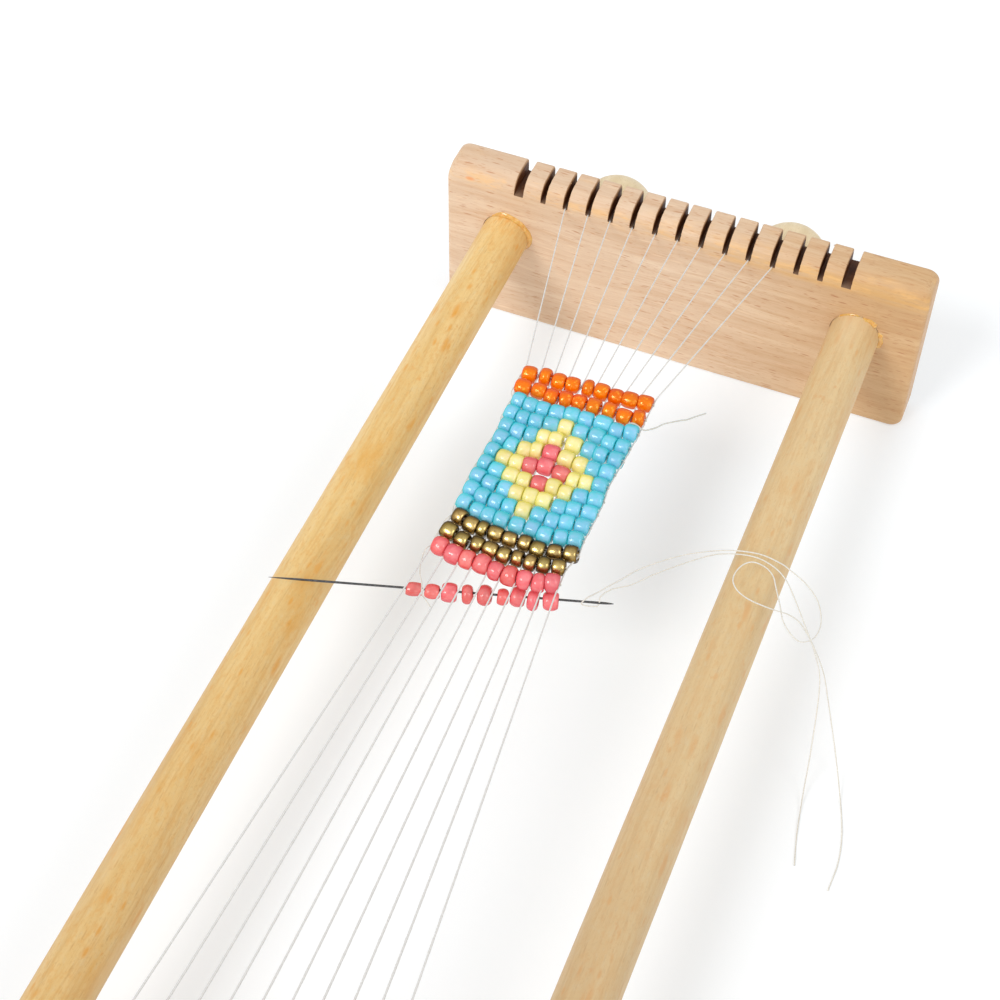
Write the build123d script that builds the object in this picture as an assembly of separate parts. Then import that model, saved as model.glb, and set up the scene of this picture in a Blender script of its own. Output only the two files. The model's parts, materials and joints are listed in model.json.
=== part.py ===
from build123d import *
import math
import os

# Bead-weaving loom: two slotted end boards joined by two dowel rails, strung with ten
# warp threads, carrying a partly woven strip of glass beads, with a beading needle
# and its loaded row of beads lying under the warps.
#
# Frame: millimetres, +Z up, X across the loom, Y along the rails, left is -X.
# Origin: centre of the underside of the far end board. The loom runs towards -Y.

# ------------------------------------------------------------------ driving dimensions
BOARD_W = 120.0          # end board, across the loom
BOARD_H = 45.0
BOARD_T = 10.0
BOARD_CORNER_R = 3.0     # the four corners in the XZ outline
BOARD_EASE = 0.9         # easing of the bottom edges
BOARD_TOP_IN_R = 4.2     # inner top edge, where the warps leave the slots
BOARD_TOP_OUT_R = 1.6    # outer top edge
INNER_LEN = 250.0        # clear length between the end boards

SLOT_FLOOR_Z = 40.6
SLOT_X = [-41.3, -35.0, -29.3, -23.5, -17.8, -12.3, -6.6, -0.9,
          4.9, 10.8, 16.5, 22.5, 28.2, 34.0, 40.3]
SLOT_W = 1.3
SLOT_W_END = 2.4         # the wider outermost slots
SLOT_OVERRUN = 2.0       # slot cutter beyond the board's faces and top

RAIL_R = 6.0
RAIL_X = 44.4
RAIL_Z = 27.2
RAIL_TENON = 6.8         # rail length held inside each end board
RAIL_CHAMFER = 0.5
SOCKET_DEPTH = RAIL_TENON + 0.2
SOCKET_R = RAIL_R + 0.05

SCREW_R = 2.0
SCREW_HEAD_R = 3.7
SCREW_HEAD_H = 2.2
SCREW_HEAD_RIM = 0.7     # straight side of the head, below its dome
SCREW_HEAD_GAP = 0.06    # clearance between the head and the knob
SCREW_BITE = 7.6         # screw length inside the board
PILOT_R = SCREW_R + 0.03
PILOT_DEPTH = SCREW_BITE + 0.4

KNOB_X = 22.5            # warp-tie knobs on the outer faces
KNOB_Z = 25.0
KNOB_R = 9.5
KNOB_CENTRE = 10.2       # this and the next three are distances out from the outer face
KNOB_NECK_H = 2.6
KNOB_GAP = 0.15          # clearance to the board
KNOB_TOP = 18.6
KNOB_NECK_R = 5.2
KNOB_BORE_R = SCREW_R + 0.05

WARP_R = 0.17
WARP_Z = SLOT_FLOOR_Z + 0.25
WARP_SLOTS = range(2, 12)    # indices into SLOT_X
WARPS_PER_KNOB = 5
WARP_FACE_GAP = 0.30     # thread centre to a board's outer face
WARP_TIE_R = 6.1         # distance from a knob's axis to the warp ends
WARP_TIE_STEP = 30       # degrees between warp ends round a knob
WARP_RUN_OUT = 2.6       # straight warp beyond the first and last rows

TURNS = 4                # thread wound on each knob's neck
TURN_START = 0.55        # first turn, out from the outer face
TURN_PITCH = 0.42

COLS = 9
ROW_Y0 = -58.0           # first woven row, the farthest
ROW_PITCH = 4.13
COL_PITCH_FAR = 3.35     # column pitch at the first row
COL_PITCH_NEAR = 3.08    # column pitch at the last row
BAND_X = -4.25           # centre line of the woven strip
BEAD_R = 2.0
BEAD_HOLE_R = 0.62
BEAD_ROUND = 0.62
BEAD_SIDE_GAP = 0.66     # column pitch minus bead length

BEAD_NODES = {
    "O": "orange_beads", "B": "blue_beads", "Y": "cream_beads",
    "P": "pink_centre_beads", "G": "bronze_beads", "E": "pink_edge_beads",
}
# one string per row, from the far end; letters are the keys of BEAD_NODES
PATTERN = [
    "OOOOOOOOO", "OOOOOOOOO", "BBBBBBBBB", "BBBBYBBBB", "BBBYYYBBB", "BBYYPYYBB",
    "BYYPPPYYB", "BBYYPYYBB", "BBBYYYBBB", "BBBBYBBBB", "BBBBBBBBB", "GGGGGGGGG",
    "GGGGGGGGG", "EEEEEEEEE",
]
LAST_ROW = len(PATTERN) - 1

WEFT_R = 0.12
WEFT_OFFSET = 0.34       # weft strands above and below the warp plane
WEFT_STEP_OUT = 0.75     # reach of the row-to-row steps beyond the outer warp
WEFT_STEP_PULL = 2.0     # tangent strength of those steps

NEEDLE_R = 0.25
NEEDLE_TIP = Vector(-47.82, -128.89, 36.7)
NEEDLE_END = Vector(20.64, -108.15, 36.7)
NEEDLE_EYE_FROM_END = 3.0
NEEDLE_EYE_LEN = 2.3
NEEDLE_EYE_W = 0.24

LOADED_HOLE_R = 0.60
LOADED_ROUND = 0.60
LOADED_HANG = (0.0, -0.12, -0.26)   # the loaded beads hang on the needle by their holes
# loaded beads: distance along the needle from its tip, length, radius
LOADED = [
    (30.65, 3.30, 1.50), (34.52, 2.95, 1.53), (38.04, 3.10, 2.02),
    (41.90, 2.30, 2.02), (45.28, 2.75, 2.17), (49.02, 2.20, 1.74),
    (51.92, 2.95, 2.19), (55.18, 2.45, 2.15), (58.86, 3.15, 1.92),
]

WORKING_R = 0.085        # thread on the needle

# Y of the board faces: the inner faces look at each other
FAR_IN = -BOARD_T / 2
FAR_OUT = BOARD_T / 2
NEAR_IN = FAR_IN - INNER_LEN
NEAR_MID = NEAR_IN - BOARD_T / 2
NEAR_OUT = NEAR_IN - BOARD_T

os.makedirs("parts", exist_ok=True)


def save(shape, node):
    export_step(shape, "parts/" + node + ".step")


def group(solids):
    return Compound(children=list(solids))


# ------------------------------------------------------------------ end boards
def arc_point(y, z, radius, degrees):
    """The point at an angle on a circle centred at (y, z)."""
    angle = math.radians(degrees)
    return (y + radius * math.cos(angle), z + radius * math.sin(angle))


def board_blank():
    """An uncut board about Y = 0, with its inner face towards -Y."""
    half, top = BOARD_T / 2, BOARD_H
    r_in, r_out, ease = BOARD_TOP_IN_R, BOARD_TOP_OUT_R, BOARD_EASE
    with BuildPart() as blank:
        with BuildSketch(Plane.YZ):
            with BuildLine():
                Line((-half + ease, 0), (half - ease, 0))
                ThreePointArc((half - ease, 0), arc_point(half - ease, ease, ease, -45),
                              (half, ease))
                Line((half, ease), (half, top - r_out))
                ThreePointArc((half, top - r_out),
                              arc_point(half - r_out, top - r_out, r_out, 45),
                              (half - r_out, top))
                Line((half - r_out, top), (-half + r_in, top))
                ThreePointArc((-half + r_in, top),
                              arc_point(-half + r_in, top - r_in, r_in, 135),
                              (-half, top - r_in))
                Line((-half, top - r_in), (-half, ease))
                ThreePointArc((-half, ease), arc_point(-half + ease, ease, ease, 225),
                              (-half + ease, 0))
            make_face()
        extrude(amount=BOARD_W / 2, both=True)
    outline = RectangleRounded(BOARD_W, BOARD_H, BOARD_CORNER_R)
    return blank.part & extrude(Plane.XZ * Pos(0, top / 2) * outline, amount=BOARD_T, both=True)


def end_board(y_mid, outward):
    """outward is +1 where the outer face looks to +Y, -1 where it looks to -Y."""
    board = board_blank()
    if outward < 0:
        board = Rot(0, 0, 180) * board
    board = Pos(0, y_mid, 0) * board

    cut_h = BOARD_H - SLOT_FLOOR_Z + SLOT_OVERRUN
    for i, x in enumerate(SLOT_X):
        width = SLOT_W_END if i in (0, len(SLOT_X) - 1) else SLOT_W
        cutter = Box(width, BOARD_T + 2 * SLOT_OVERRUN, cut_h)
        board -= Pos(x, y_mid, SLOT_FLOOR_Z + cut_h / 2) * cutter

    inner = y_mid - outward * BOARD_T / 2
    outer = y_mid + outward * BOARD_T / 2
    for side in (-1, 1):
        socket = Rot(90, 0, 0) * Cylinder(SOCKET_R, SOCKET_DEPTH)
        board -= Pos(side * RAIL_X, inner + outward * SOCKET_DEPTH / 2, RAIL_Z) * socket
        pilot = Rot(90, 0, 0) * Cylinder(PILOT_R, PILOT_DEPTH)
        board -= Pos(side * KNOB_X, outer - outward * PILOT_DEPTH / 2, KNOB_Z) * pilot
    return board


save(end_board(0.0, 1), "far_end_board")
save(end_board(NEAR_MID, -1), "near_end_board")


# ------------------------------------------------------------------ rails
def rail(side):
    dowel = Cylinder(RAIL_R, INNER_LEN + 2 * RAIL_TENON)
    dowel = chamfer(dowel.edges().filter_by(GeomType.CIRCLE), RAIL_CHAMFER)
    return Pos(side * RAIL_X, (FAR_IN + NEAR_IN) / 2, RAIL_Z) * Rot(90, 0, 0) * dowel


save(rail(-1), "left_rail")
save(rail(1), "right_rail")

# ------------------------------------------------------------------ glue squeezed out of the sockets
GLUE_GAP = 0.01          # keeps the glue clear of the rail and the board
# side, at the far board, start and end angle, width on the board, height along the rail;
# angles run from +X, towards +Z at the far board and towards -Z at the near one
GLUE = [
    (-1, True, -30, 122, 1.1, 1.3),
    (1, True, 48, 78, 1.3, 1.5),
    (1, True, -12, 20, 1.2, 1.4),
    (-1, False, -140, -20, 1.0, 1.2),
    (1, False, -150, -60, 1.1, 1.2),
]


def glue_arc(side, far, start, end, width, height):
    """A fillet of set glue part way round a rail, against a board's inner face."""
    r = RAIL_R + GLUE_GAP
    profile = Polyline((r, GLUE_GAP), (r + width, GLUE_GAP),
                       (r + 0.38 * width, 0.36 * height), (r, height), close=True)
    fillet_arc = revolve(make_face(Plane.XZ * profile), Axis.Z, end - start)
    # local Z becomes the direction away from the board face
    tilt = Rot(90 if far else -90, 0, 0)
    y = FAR_IN if far else NEAR_IN
    return Pos(side * RAIL_X, y, RAIL_Z) * tilt * Rot(0, 0, start) * fillet_arc


save(group(glue_arc(*entry) for entry in GLUE), "glue_squeeze_out")


# ------------------------------------------------------------------ knobs, screws and windings
def on_board(shape, side, far):
    """Places a shape built along +Z (away from the outer face) on a board's outer face."""
    y = FAR_OUT if far else NEAR_OUT
    return Pos(side * KNOB_X, y, KNOB_Z) * Rot(-90 if far else 90, 0, 0) * shape


def knob():
    """A truncated ball on a short neck, bored for the screw."""
    r_low = math.sqrt(KNOB_R**2 - (KNOB_CENTRE - KNOB_NECK_H) ** 2)
    r_top = math.sqrt(KNOB_R**2 - (KNOB_TOP - KNOB_CENTRE) ** 2)
    with BuildPart() as part:
        with BuildSketch(Plane.XZ):
            with BuildLine():
                Polyline((KNOB_BORE_R, KNOB_GAP), (KNOB_NECK_R, KNOB_GAP),
                         (KNOB_NECK_R, KNOB_NECK_H), (r_low, KNOB_NECK_H))
                ThreePointArc((r_low, KNOB_NECK_H), (KNOB_R, KNOB_CENTRE), (r_top, KNOB_TOP))
                Polyline((r_top, KNOB_TOP), (KNOB_BORE_R, KNOB_TOP), (KNOB_BORE_R, KNOB_GAP))
            make_face()
        revolve(axis=Axis.Z)
    return part.part


def screw():
    """A pointed shank with a domed, cross-slotted head."""
    point = -SCREW_BITE
    seat = KNOB_TOP + SCREW_HEAD_GAP
    rim = seat + SCREW_HEAD_RIM
    top = seat + SCREW_HEAD_H
    slot_len, slot_w, cutter_h = 4.2, 0.9, 1.2
    with BuildPart() as part:
        with BuildSketch(Plane.XZ):
            with BuildLine():
                Polyline((0, point), (SCREW_R * 0.5, point + 1.6), (SCREW_R, point + 3.4),
                         (SCREW_R, seat), (SCREW_HEAD_R, seat), (SCREW_HEAD_R, rim))
                ThreePointArc((SCREW_HEAD_R, rim), (SCREW_HEAD_R * 0.68, seat + 1.75), (0, top))
                Line((0, top), (0, point))
            make_face()
        revolve(axis=Axis.Z)
        with Locations((0, 0, top - 0.35)):
            Box(slot_w, slot_len, cutter_h, mode=Mode.SUBTRACT)
            Box(slot_len, slot_w, cutter_h, mode=Mode.SUBTRACT)
    return part.part


def winding():
    """Separate rings of thread round a knob's neck."""
    ring_r = KNOB_NECK_R + WARP_R + 0.03
    return [Pos(0, 0, TURN_START + TURN_PITCH * k) * Torus(ring_r, WARP_R)
            for k in range(TURNS)]


screws = []
for far in (True, False):
    for side in (-1, 1):
        place = ("far" if far else "near") + "_" + ("left" if side < 0 else "right")
        save(on_board(knob(), side, far), place + "_knob")
        save(group(on_board(turn, side, far) for turn in winding()), place + "_winding")
        screws.append(on_board(screw(), side, far))
save(group(screws), "knob_screws")


# ------------------------------------------------------------------ weave grid and thread shapes
def pitch_at(row):
    return COL_PITCH_FAR + (COL_PITCH_NEAR - COL_PITCH_FAR) * row / LAST_ROW


def row_y(row):
    return ROW_Y0 - ROW_PITCH * row


def warp_x(j, row):
    """X of warp thread j (0 to 9) at a woven row."""
    return BAND_X + (j - COLS / 2) * pitch_at(row)


def tube(points, radius):
    """A round thread along straight runs joined by small tangent bends."""
    bend_r, max_cut = 0.45, 0.6              # bends at sharp turns
    slight_turn, slight_cut = 0.35, 0.5      # turns up to this, in radians, use a fixed cut
    points = [Vector(*p) for p in points]
    edges, at = [], points[0]
    for before, corner, after in zip(points, points[1:], points[2:]):
        arriving = (corner - before).normalized()
        leaving = (after - corner).normalized()
        turn = math.acos(max(-1.0, min(1.0, arriving.dot(leaving))))
        tan_half = math.tan(turn / 2)
        cut = min(bend_r * tan_half, max_cut) if turn > slight_turn else slight_cut
        start, end = corner - arriving * cut, corner + leaving * cut
        edges.append(Line(at, start))
        inward = (leaving - arriving).normalized()
        arc_r = cut / tan_half
        corner_to_arc = arc_r / math.cos(turn / 2) - arc_r
        edges.append(ThreePointArc(start, corner + inward * corner_to_arc, end))
        at = end
    edges.append(Line(at, points[-1]))
    section = Plane(origin=points[0], z_dir=points[1] - points[0]) * Circle(radius)
    return sweep(section, path=Wire(edges)).solids()[0]


def soft_tube(points, radius, frenet=False):
    """A round thread along a smooth curve through the points."""
    path = Spline(*points)
    section = Plane(origin=path @ 0, z_dir=path % 0) * Circle(radius)
    return sweep(section, path=path, is_frenet=frenet)


# ------------------------------------------------------------------ warp threads
def warp_thread(j):
    """From a near knob up its board, through the slots and strip, down to a far knob."""
    slot_x = SLOT_X[WARP_SLOTS[j]]
    knob_x = -KNOB_X if j < WARPS_PER_KNOB else KNOB_X
    angle = math.radians(150 - WARP_TIE_STEP * (j % WARPS_PER_KNOB))
    tie_x = knob_x + WARP_TIE_R * math.cos(angle)
    tie_z = KNOB_Z + WARP_TIE_R * math.sin(angle)
    far_x, near_x = warp_x(j, 0), warp_x(j, LAST_ROW)
    drift = (near_x - far_x) / (ROW_PITCH * LAST_ROW) * WARP_RUN_OUT
    near_y, far_y = NEAR_OUT - WARP_FACE_GAP, FAR_OUT + WARP_FACE_GAP
    return tube([
        (tie_x, near_y, tie_z),
        (slot_x, near_y, WARP_Z),
        (slot_x, NEAR_IN, WARP_Z),
        (near_x + drift, row_y(LAST_ROW) - WARP_RUN_OUT, WARP_Z),
        (far_x - drift, row_y(0) + WARP_RUN_OUT, WARP_Z),
        (slot_x, FAR_IN, WARP_Z),
        (slot_x, far_y, WARP_Z),
        (tie_x, far_y, tie_z),
    ], WARP_R)


for j in range(len(WARP_SLOTS)):
    save(warp_thread(j), "warp_thread_%02d" % (j + 1))


# ------------------------------------------------------------------ woven beads
def bead(length, radius, hole, rounding):
    """A rocaille bead with its hole along X."""
    wall = radius - hole
    with BuildPart() as part:
        with BuildSketch(Plane.XY):
            with Locations((0, (radius + hole) / 2)):
                RectangleRounded(length, wall, min(rounding, wall / 2 - 0.02))
        revolve(axis=Axis.X)
    return part.part


woven = {letter: [] for letter in BEAD_NODES}
for row, letters in enumerate(PATTERN):
    pitch = pitch_at(row)
    row_bead = bead(pitch - BEAD_SIDE_GAP, BEAD_R, BEAD_HOLE_R, BEAD_ROUND)
    for col, letter in enumerate(letters):
        x = BAND_X + (col - (COLS - 1) / 2) * pitch
        woven[letter].append(Pos(x, row_y(row), WARP_Z) * row_bead)
for letter, node in BEAD_NODES.items():
    save(group(woven[letter]), node)


# ------------------------------------------------------------------ weft thread
def weft_row(row):
    """Each row is passed twice: below the warps, round the right outer warp, and back
    above them. A step round the left outer warp leads to the next row. The lengths
    meet end to end, so that each one is a plain rod or bend."""
    y = row_y(row)
    left, right = warp_x(0, row), warp_x(COLS, row)
    low, high = WARP_Z - WEFT_OFFSET, WARP_Z + WEFT_OFFSET
    lengths = [
        Pos((left + right) / 2, y, z) * Rot(0, 90, 0) * Cylinder(WEFT_R, right - left)
        for z in (low, high)
    ]
    bend = ThreePointArc((right, y, low), (right + WEFT_OFFSET, y, WARP_Z), (right, y, high))
    section = Plane(origin=(right, y, low), z_dir=(1, 0, 0)) * Circle(WEFT_R)
    lengths.append(sweep(section, path=bend))
    if row < LAST_ROW:
        next_y, next_left = row_y(row + 1), warp_x(0, row + 1)
        step = Spline(
            (left, y, high),
            (min(left, next_left) - WEFT_STEP_OUT, (y + next_y) / 2, WARP_Z),
            (next_left, next_y, low),
            tangents=[(-1, 0, 0), (1, 0, 0)],
            tangent_scalars=(WEFT_STEP_PULL, WEFT_STEP_PULL),
        )
        section = Plane(origin=(left, y, high), z_dir=(-1, 0, 0)) * Circle(WEFT_R)
        lengths.append(sweep(section, path=step))
    return lengths


save(group(length for row in range(LAST_ROW + 1) for length in weft_row(row)), "weft_thread")

# Thread courses, here and below, are lists of (x, y, z).
# cut tail of the first weft end, springing out of the right edge
START_TAIL = [
    (11.30, -64.55, 40.95), (11.95, -64.94, 41.25), (13.06, -64.26, 41.6),
    (13.98, -63.66, 41.8), (15.3, -62.24, 42.1), (16.97, -61.11, 42.3),
    (18.31, -59.99, 42.2), (19.5, -59.05, 42.0), (20.98, -57.23, 41.8),
    (22.67, -55.35, 41.6),
]
save(soft_tube(START_TAIL, WEFT_R), "weft_start_tail")

# slack weft leaving the last row at the left edge
EDGE_LOOP = [
    (-19.25, -111.6, 40.75), (-19.45, -113.72, 40.3), (-18.9, -116.47, 39.9),
    (-18.1, -118.45, 39.7), (-17.1, -119.99, 39.6), (-15.79, -122.76, 39.6),
    (-14.5, -123.9, 39.65), (-12.9, -125.2, 39.8),
]
save(soft_tube(EDGE_LOOP, WEFT_R), "weft_edge_loop")

# ------------------------------------------------------------------ needle and its loaded row
needle_dir = (NEEDLE_END - NEEDLE_TIP).normalized()
needle_len = (NEEDLE_END - NEEDLE_TIP).length
eye_at = needle_len - NEEDLE_EYE_FROM_END
needle_place = Plane(origin=NEEDLE_TIP, x_dir=needle_dir, z_dir=(0, 0, 1)).location


def needle():
    """Along +X from its tip, tapered at both ends, with the eye cut through in Z."""
    with BuildPart() as part:
        with BuildSketch(Plane.XY):
            with BuildLine():
                Polyline(
                    (0, 0), (0.25, 0.05), (5.5, NEEDLE_R), (needle_len - 1.6, NEEDLE_R),
                    (needle_len - 0.3, 0.16), (needle_len, 0.06), (needle_len, 0), close=True,
                )
            make_face()
        revolve(axis=Axis.X)
        with Locations((eye_at, 0, 0)):
            Box(NEEDLE_EYE_LEN, NEEDLE_EYE_W, 8 * NEEDLE_R, mode=Mode.SUBTRACT)
    return part.part


save(needle_place * needle(), "needle")
save(group(
    Pos(*LOADED_HANG) * needle_place * Pos(along, 0, 0)
    * bead(length, radius, LOADED_HOLE_R, LOADED_ROUND)
    for along, length, radius in LOADED
), "loaded_beads")

# ------------------------------------------------------------------ working thread
# The short part through the eye is a piece of its own; the long double end drapes
# over the right rail and runs out along the table.
eye = NEEDLE_TIP + needle_dir * eye_at
EYE_THREAD = [
    (19.9, -102.6, 37.55), (17.1, -106.1, 37.5), (14.5, -108.7, 37.45), (13.4, -110.0, 37.0),
    (14.2, -110.5, 36.35), (16.4, -110.0, 36.0), (17.7, -109.35, 36.1),
    (eye.X, eye.Y, 36.55), (eye.X, eye.Y, 36.95), (17.3, -108.4, 37.35),
    (18.6, -106.2, 37.2), (21.5, -103.2, 37.05),
]
save(soft_tube(EYE_THREAD, WORKING_R), "needle_thread")

LOOPED_STRAND = [
    (20.2, -102.1, 37.56), (22.75, -98.27, 37.6), (28.03, -93.31, 38.0), (32.8, -89.94, 38.2),
    (38.61, -86.95, 38.2), (44.45, -85.31, 37.9), (49.14, -85.52, 37.4), (51.56, -86.25, 37.1),
    (55.62, -88.1, 36.6), (58.81, -90.78, 36.2), (60.65, -94.12, 36.0), (61.36, -97.29, 35.9),
    (60.82, -100.55, 36.0), (58.79, -102.35, 36.2), (56.53, -101.55, 36.4), (53.94, -98.99, 36.6),
    (52.22, -95.49, 36.8), (50.22, -91.77, 37.0), (48.76, -89.18, 37.2), (46.55, -87.64, 37.3),
    (43.65, -87.42, 37.3), (41.7, -89.39, 37.0), (41.21, -92.51, 36.6), (42.81, -94.66, 36.1),
    (45.78, -95.67, 35.6), (49.53, -95.8, 35.1), (51.99, -95.65, 34.8), (54.41, -95.27, 34.2),
    (56.98, -95.47, 33.0), (59.84, -96.81, 30.6), (62.35, -97.63, 26.6), (64.46, -98.22, 22.0),
    (66.6, -99.47, 15.6), (70.92, -103.94, 5.2), (74.96, -111.94, 0.6), (77.64, -119.88, 0.3),
    (78.8, -127.0, 0.3), (78.6, -134.0, 0.3),
]
PLAIN_STRAND = [
    (21.9, -102.8, 37.04), (23.67, -100.77, 37.0), (25.98, -98.02, 37.2), (31.34, -92.58, 37.4),
    (36.0, -88.45, 37.3), (40.51, -86.35, 37.1), (44.5, -85.55, 36.8), (48.38, -86.4, 36.5),
    (51.44, -88.3, 36.1), (54.18, -91.51, 35.6), (56.77, -94.93, 35.0), (60.04, -98.72, 33.2),
    (61.83, -99.9, 30.4), (63.84, -101.14, 25.6), (65.06, -103.36, 19.0), (66.56, -109.24, 8.0),
    (67.47, -114.42, 1.4), (68.93, -123.46, 0.3), (70.6, -131.0, 0.3),
]
save(group([
    soft_tube(LOOPED_STRAND, WORKING_R, frenet=True),
    soft_tube(PLAIN_STRAND, WORKING_R),
]), "working_thread")
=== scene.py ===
import json
import math
import random

import bpy
import bmesh
import numpy as np
from mathutils import Matrix, Vector, noise


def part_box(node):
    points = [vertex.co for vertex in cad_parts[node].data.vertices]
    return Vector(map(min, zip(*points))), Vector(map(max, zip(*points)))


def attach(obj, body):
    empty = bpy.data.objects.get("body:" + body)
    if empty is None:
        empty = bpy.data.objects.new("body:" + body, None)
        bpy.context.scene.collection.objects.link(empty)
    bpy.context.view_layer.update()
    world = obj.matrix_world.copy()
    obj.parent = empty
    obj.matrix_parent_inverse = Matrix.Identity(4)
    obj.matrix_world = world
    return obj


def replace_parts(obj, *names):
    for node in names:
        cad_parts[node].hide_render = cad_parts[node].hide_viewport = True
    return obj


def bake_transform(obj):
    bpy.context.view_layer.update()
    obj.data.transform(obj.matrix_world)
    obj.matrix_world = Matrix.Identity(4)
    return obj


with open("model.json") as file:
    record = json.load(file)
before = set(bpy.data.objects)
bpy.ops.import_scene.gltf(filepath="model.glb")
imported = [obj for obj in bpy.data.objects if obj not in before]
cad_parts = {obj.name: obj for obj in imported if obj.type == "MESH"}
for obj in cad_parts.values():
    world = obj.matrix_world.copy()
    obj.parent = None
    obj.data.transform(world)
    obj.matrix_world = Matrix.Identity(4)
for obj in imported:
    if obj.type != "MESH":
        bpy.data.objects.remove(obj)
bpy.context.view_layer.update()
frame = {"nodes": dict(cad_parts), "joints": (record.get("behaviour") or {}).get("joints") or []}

rng = random.Random(4117)
MM = 0.001
scene = bpy.context.scene


def mm_box(node):
    lo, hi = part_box(node)
    return np.array(lo) / MM, np.array(hi) / MM


# ============================================================ sizes, from the frame
b_lo, b_hi = mm_box("far_end_board")
n_lo, n_hi = mm_box("near_end_board")
BOARD_W, BOARD_H, BOARD_T = b_hi[0] - b_lo[0], b_hi[2] - b_lo[2], b_hi[1] - b_lo[1]
FAR_IN, FAR_OUT = b_lo[1], b_hi[1]
NEAR_IN, NEAR_OUT = n_hi[1], n_lo[1]
SLOT_X = [-41.3, -35.0, -29.3, -23.5, -17.8, -12.3, -6.6, -0.9,
          4.9, 10.8, 16.5, 22.5, 28.2, 34.0, 40.3]
SLOT_W, SLOT_W_END, SLOT_FLOOR = 1.3, 2.4, 40.6
r_lo, r_hi = mm_box("right_rail")
RAIL_R = (r_hi[0] - r_lo[0]) / 2
RAIL_X, RAIL_Z = (r_lo[0] + r_hi[0]) / 2, (r_lo[2] + r_hi[2]) / 2
k_lo, k_hi = mm_box("far_right_knob")
KNOB_X, KNOB_Z, KNOB_R = (k_lo[0] + k_hi[0]) / 2, (k_lo[2] + k_hi[2]) / 2, (k_hi[0] - k_lo[0]) / 2
WARP_Z = 40.85
o_lo, o_hi = mm_box("orange_beads")
e_lo, e_hi = mm_box("pink_edge_beads")
ROWS, COLS, BEAD_R = 14, 9, 2.0
ROW_Y0 = o_hi[1] - BEAD_R
ROW_PITCH = (ROW_Y0 - (e_lo[1] + e_hi[1]) / 2) / (ROWS - 1)
BAND_X = (e_lo[0] + e_hi[0]) / 2
PITCH_FAR = ((o_hi[0] - o_lo[0]) / 2 + 0.33) / 4.5
PITCH_NEAR = ((e_hi[0] - e_lo[0]) / 2 + 0.33) / 4.5
PATTERN = [
    "OOOOOOOOO", "OOOOOOOOO", "BBBBBBBBB", "BBBBYBBBB", "BBBYYYBBB", "BBYYPYYBB",
    "BYYPPPYYB", "BBYYPYYBB", "BBBYYYBBB", "BBBBYBBBB", "BBBBBBBBB", "GGGGGGGGG",
    "GGGGGGGGG", "EEEEEEEEE",
]


# ============================================================ mesh helpers
def mesh_object(name, verts, faces, smooth=True):
    me = bpy.data.meshes.new(name)
    me.from_pydata((np.asarray(verts, float) * MM).tolist(), [], [tuple(int(i) for i in f) for f in faces])
    me.polygons.foreach_set("use_smooth", [smooth] * len(me.polygons))
    me.update()
    ob = bpy.data.objects.new(name, me)
    scene.collection.objects.link(ob)
    return ob


def outward_normals(ob):
    bm = bmesh.new()
    bm.from_mesh(ob.data)
    bmesh.ops.recalc_face_normals(bm, faces=bm.faces)
    bm.to_mesh(ob.data)
    bm.free()


def point_attribute(ob, name, values):
    a = ob.data.attributes.new(name, "FLOAT", "POINT")
    a.data.foreach_set("value", np.asarray(values, np.float32))


def apply_modifiers(ob):
    dg = bpy.context.evaluated_depsgraph_get()
    me = bpy.data.meshes.new_from_object(ob.evaluated_get(dg))
    old = ob.data
    ob.modifiers.clear()
    ob.data = me
    me.name = ob.name
    bpy.data.meshes.remove(old)


def mark_sharp(ob, degrees=38):
    bm = bmesh.new()
    bm.from_mesh(ob.data)
    limit = math.radians(degrees)
    for e in bm.edges:
        e.smooth = len(e.link_faces) == 2 and e.calc_face_angle(0) < limit
    bm.to_mesh(ob.data)
    bm.free()


class Build:
    """Collects several closed shapes into one mesh, with per-vertex numbers."""

    def __init__(self):
        self.v, self.f, self.a = [], [], {}
        self.n = 0

    def add(self, verts, faces, **attrs):
        verts = np.asarray(verts, float)
        self.v.append(verts)
        self.f.extend([tuple(i + self.n for i in f) for f in faces])
        for k, val in attrs.items():
            self.a.setdefault(k, []).append(np.broadcast_to(np.asarray(val, float), (len(verts),)))
        self.n += len(verts)

    def object(self, name):
        ob = mesh_object(name, np.concatenate(self.v), self.f)
        for k, parts in self.a.items():
            point_attribute(ob, k, np.concatenate(parts))
        return ob


def round_path(points, cut, step=0.6):
    """A polyline with each corner replaced by a short smooth bend, sampled densely enough."""
    P = [np.array(p, float) for p in points]
    out = [P[0]]
    for k in range(1, len(P) - 1):
        a, b, c = P[k - 1], P[k], P[k + 1]
        la, lc = np.linalg.norm(b - a), np.linalg.norm(c - b)
        d = min(cut, 0.48 * la, 0.48 * lc)
        p0, p1 = b + (a - b) / la * d, b + (c - b) / lc * d
        for t in np.linspace(0, 1, 6):
            out.append((1 - t) ** 2 * p0 + 2 * t * (1 - t) * b + t * t * p1)
    out.append(P[-1])
    return resample(np.array(out), step)


def resample(P, step):
    P = np.asarray(P, float)
    seg = np.linalg.norm(np.diff(P, axis=0), axis=1)
    keep = np.concatenate([[True], seg > 1e-6])
    P = P[keep]
    s = np.concatenate([[0], np.cumsum(np.linalg.norm(np.diff(P, axis=0), axis=1))])
    n = max(2, int(math.ceil(s[-1] / step)) + 1)
    t = np.linspace(0, s[-1], n)
    return np.stack([np.interp(t, s, P[:, i]) for i in range(3)], 1)


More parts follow.
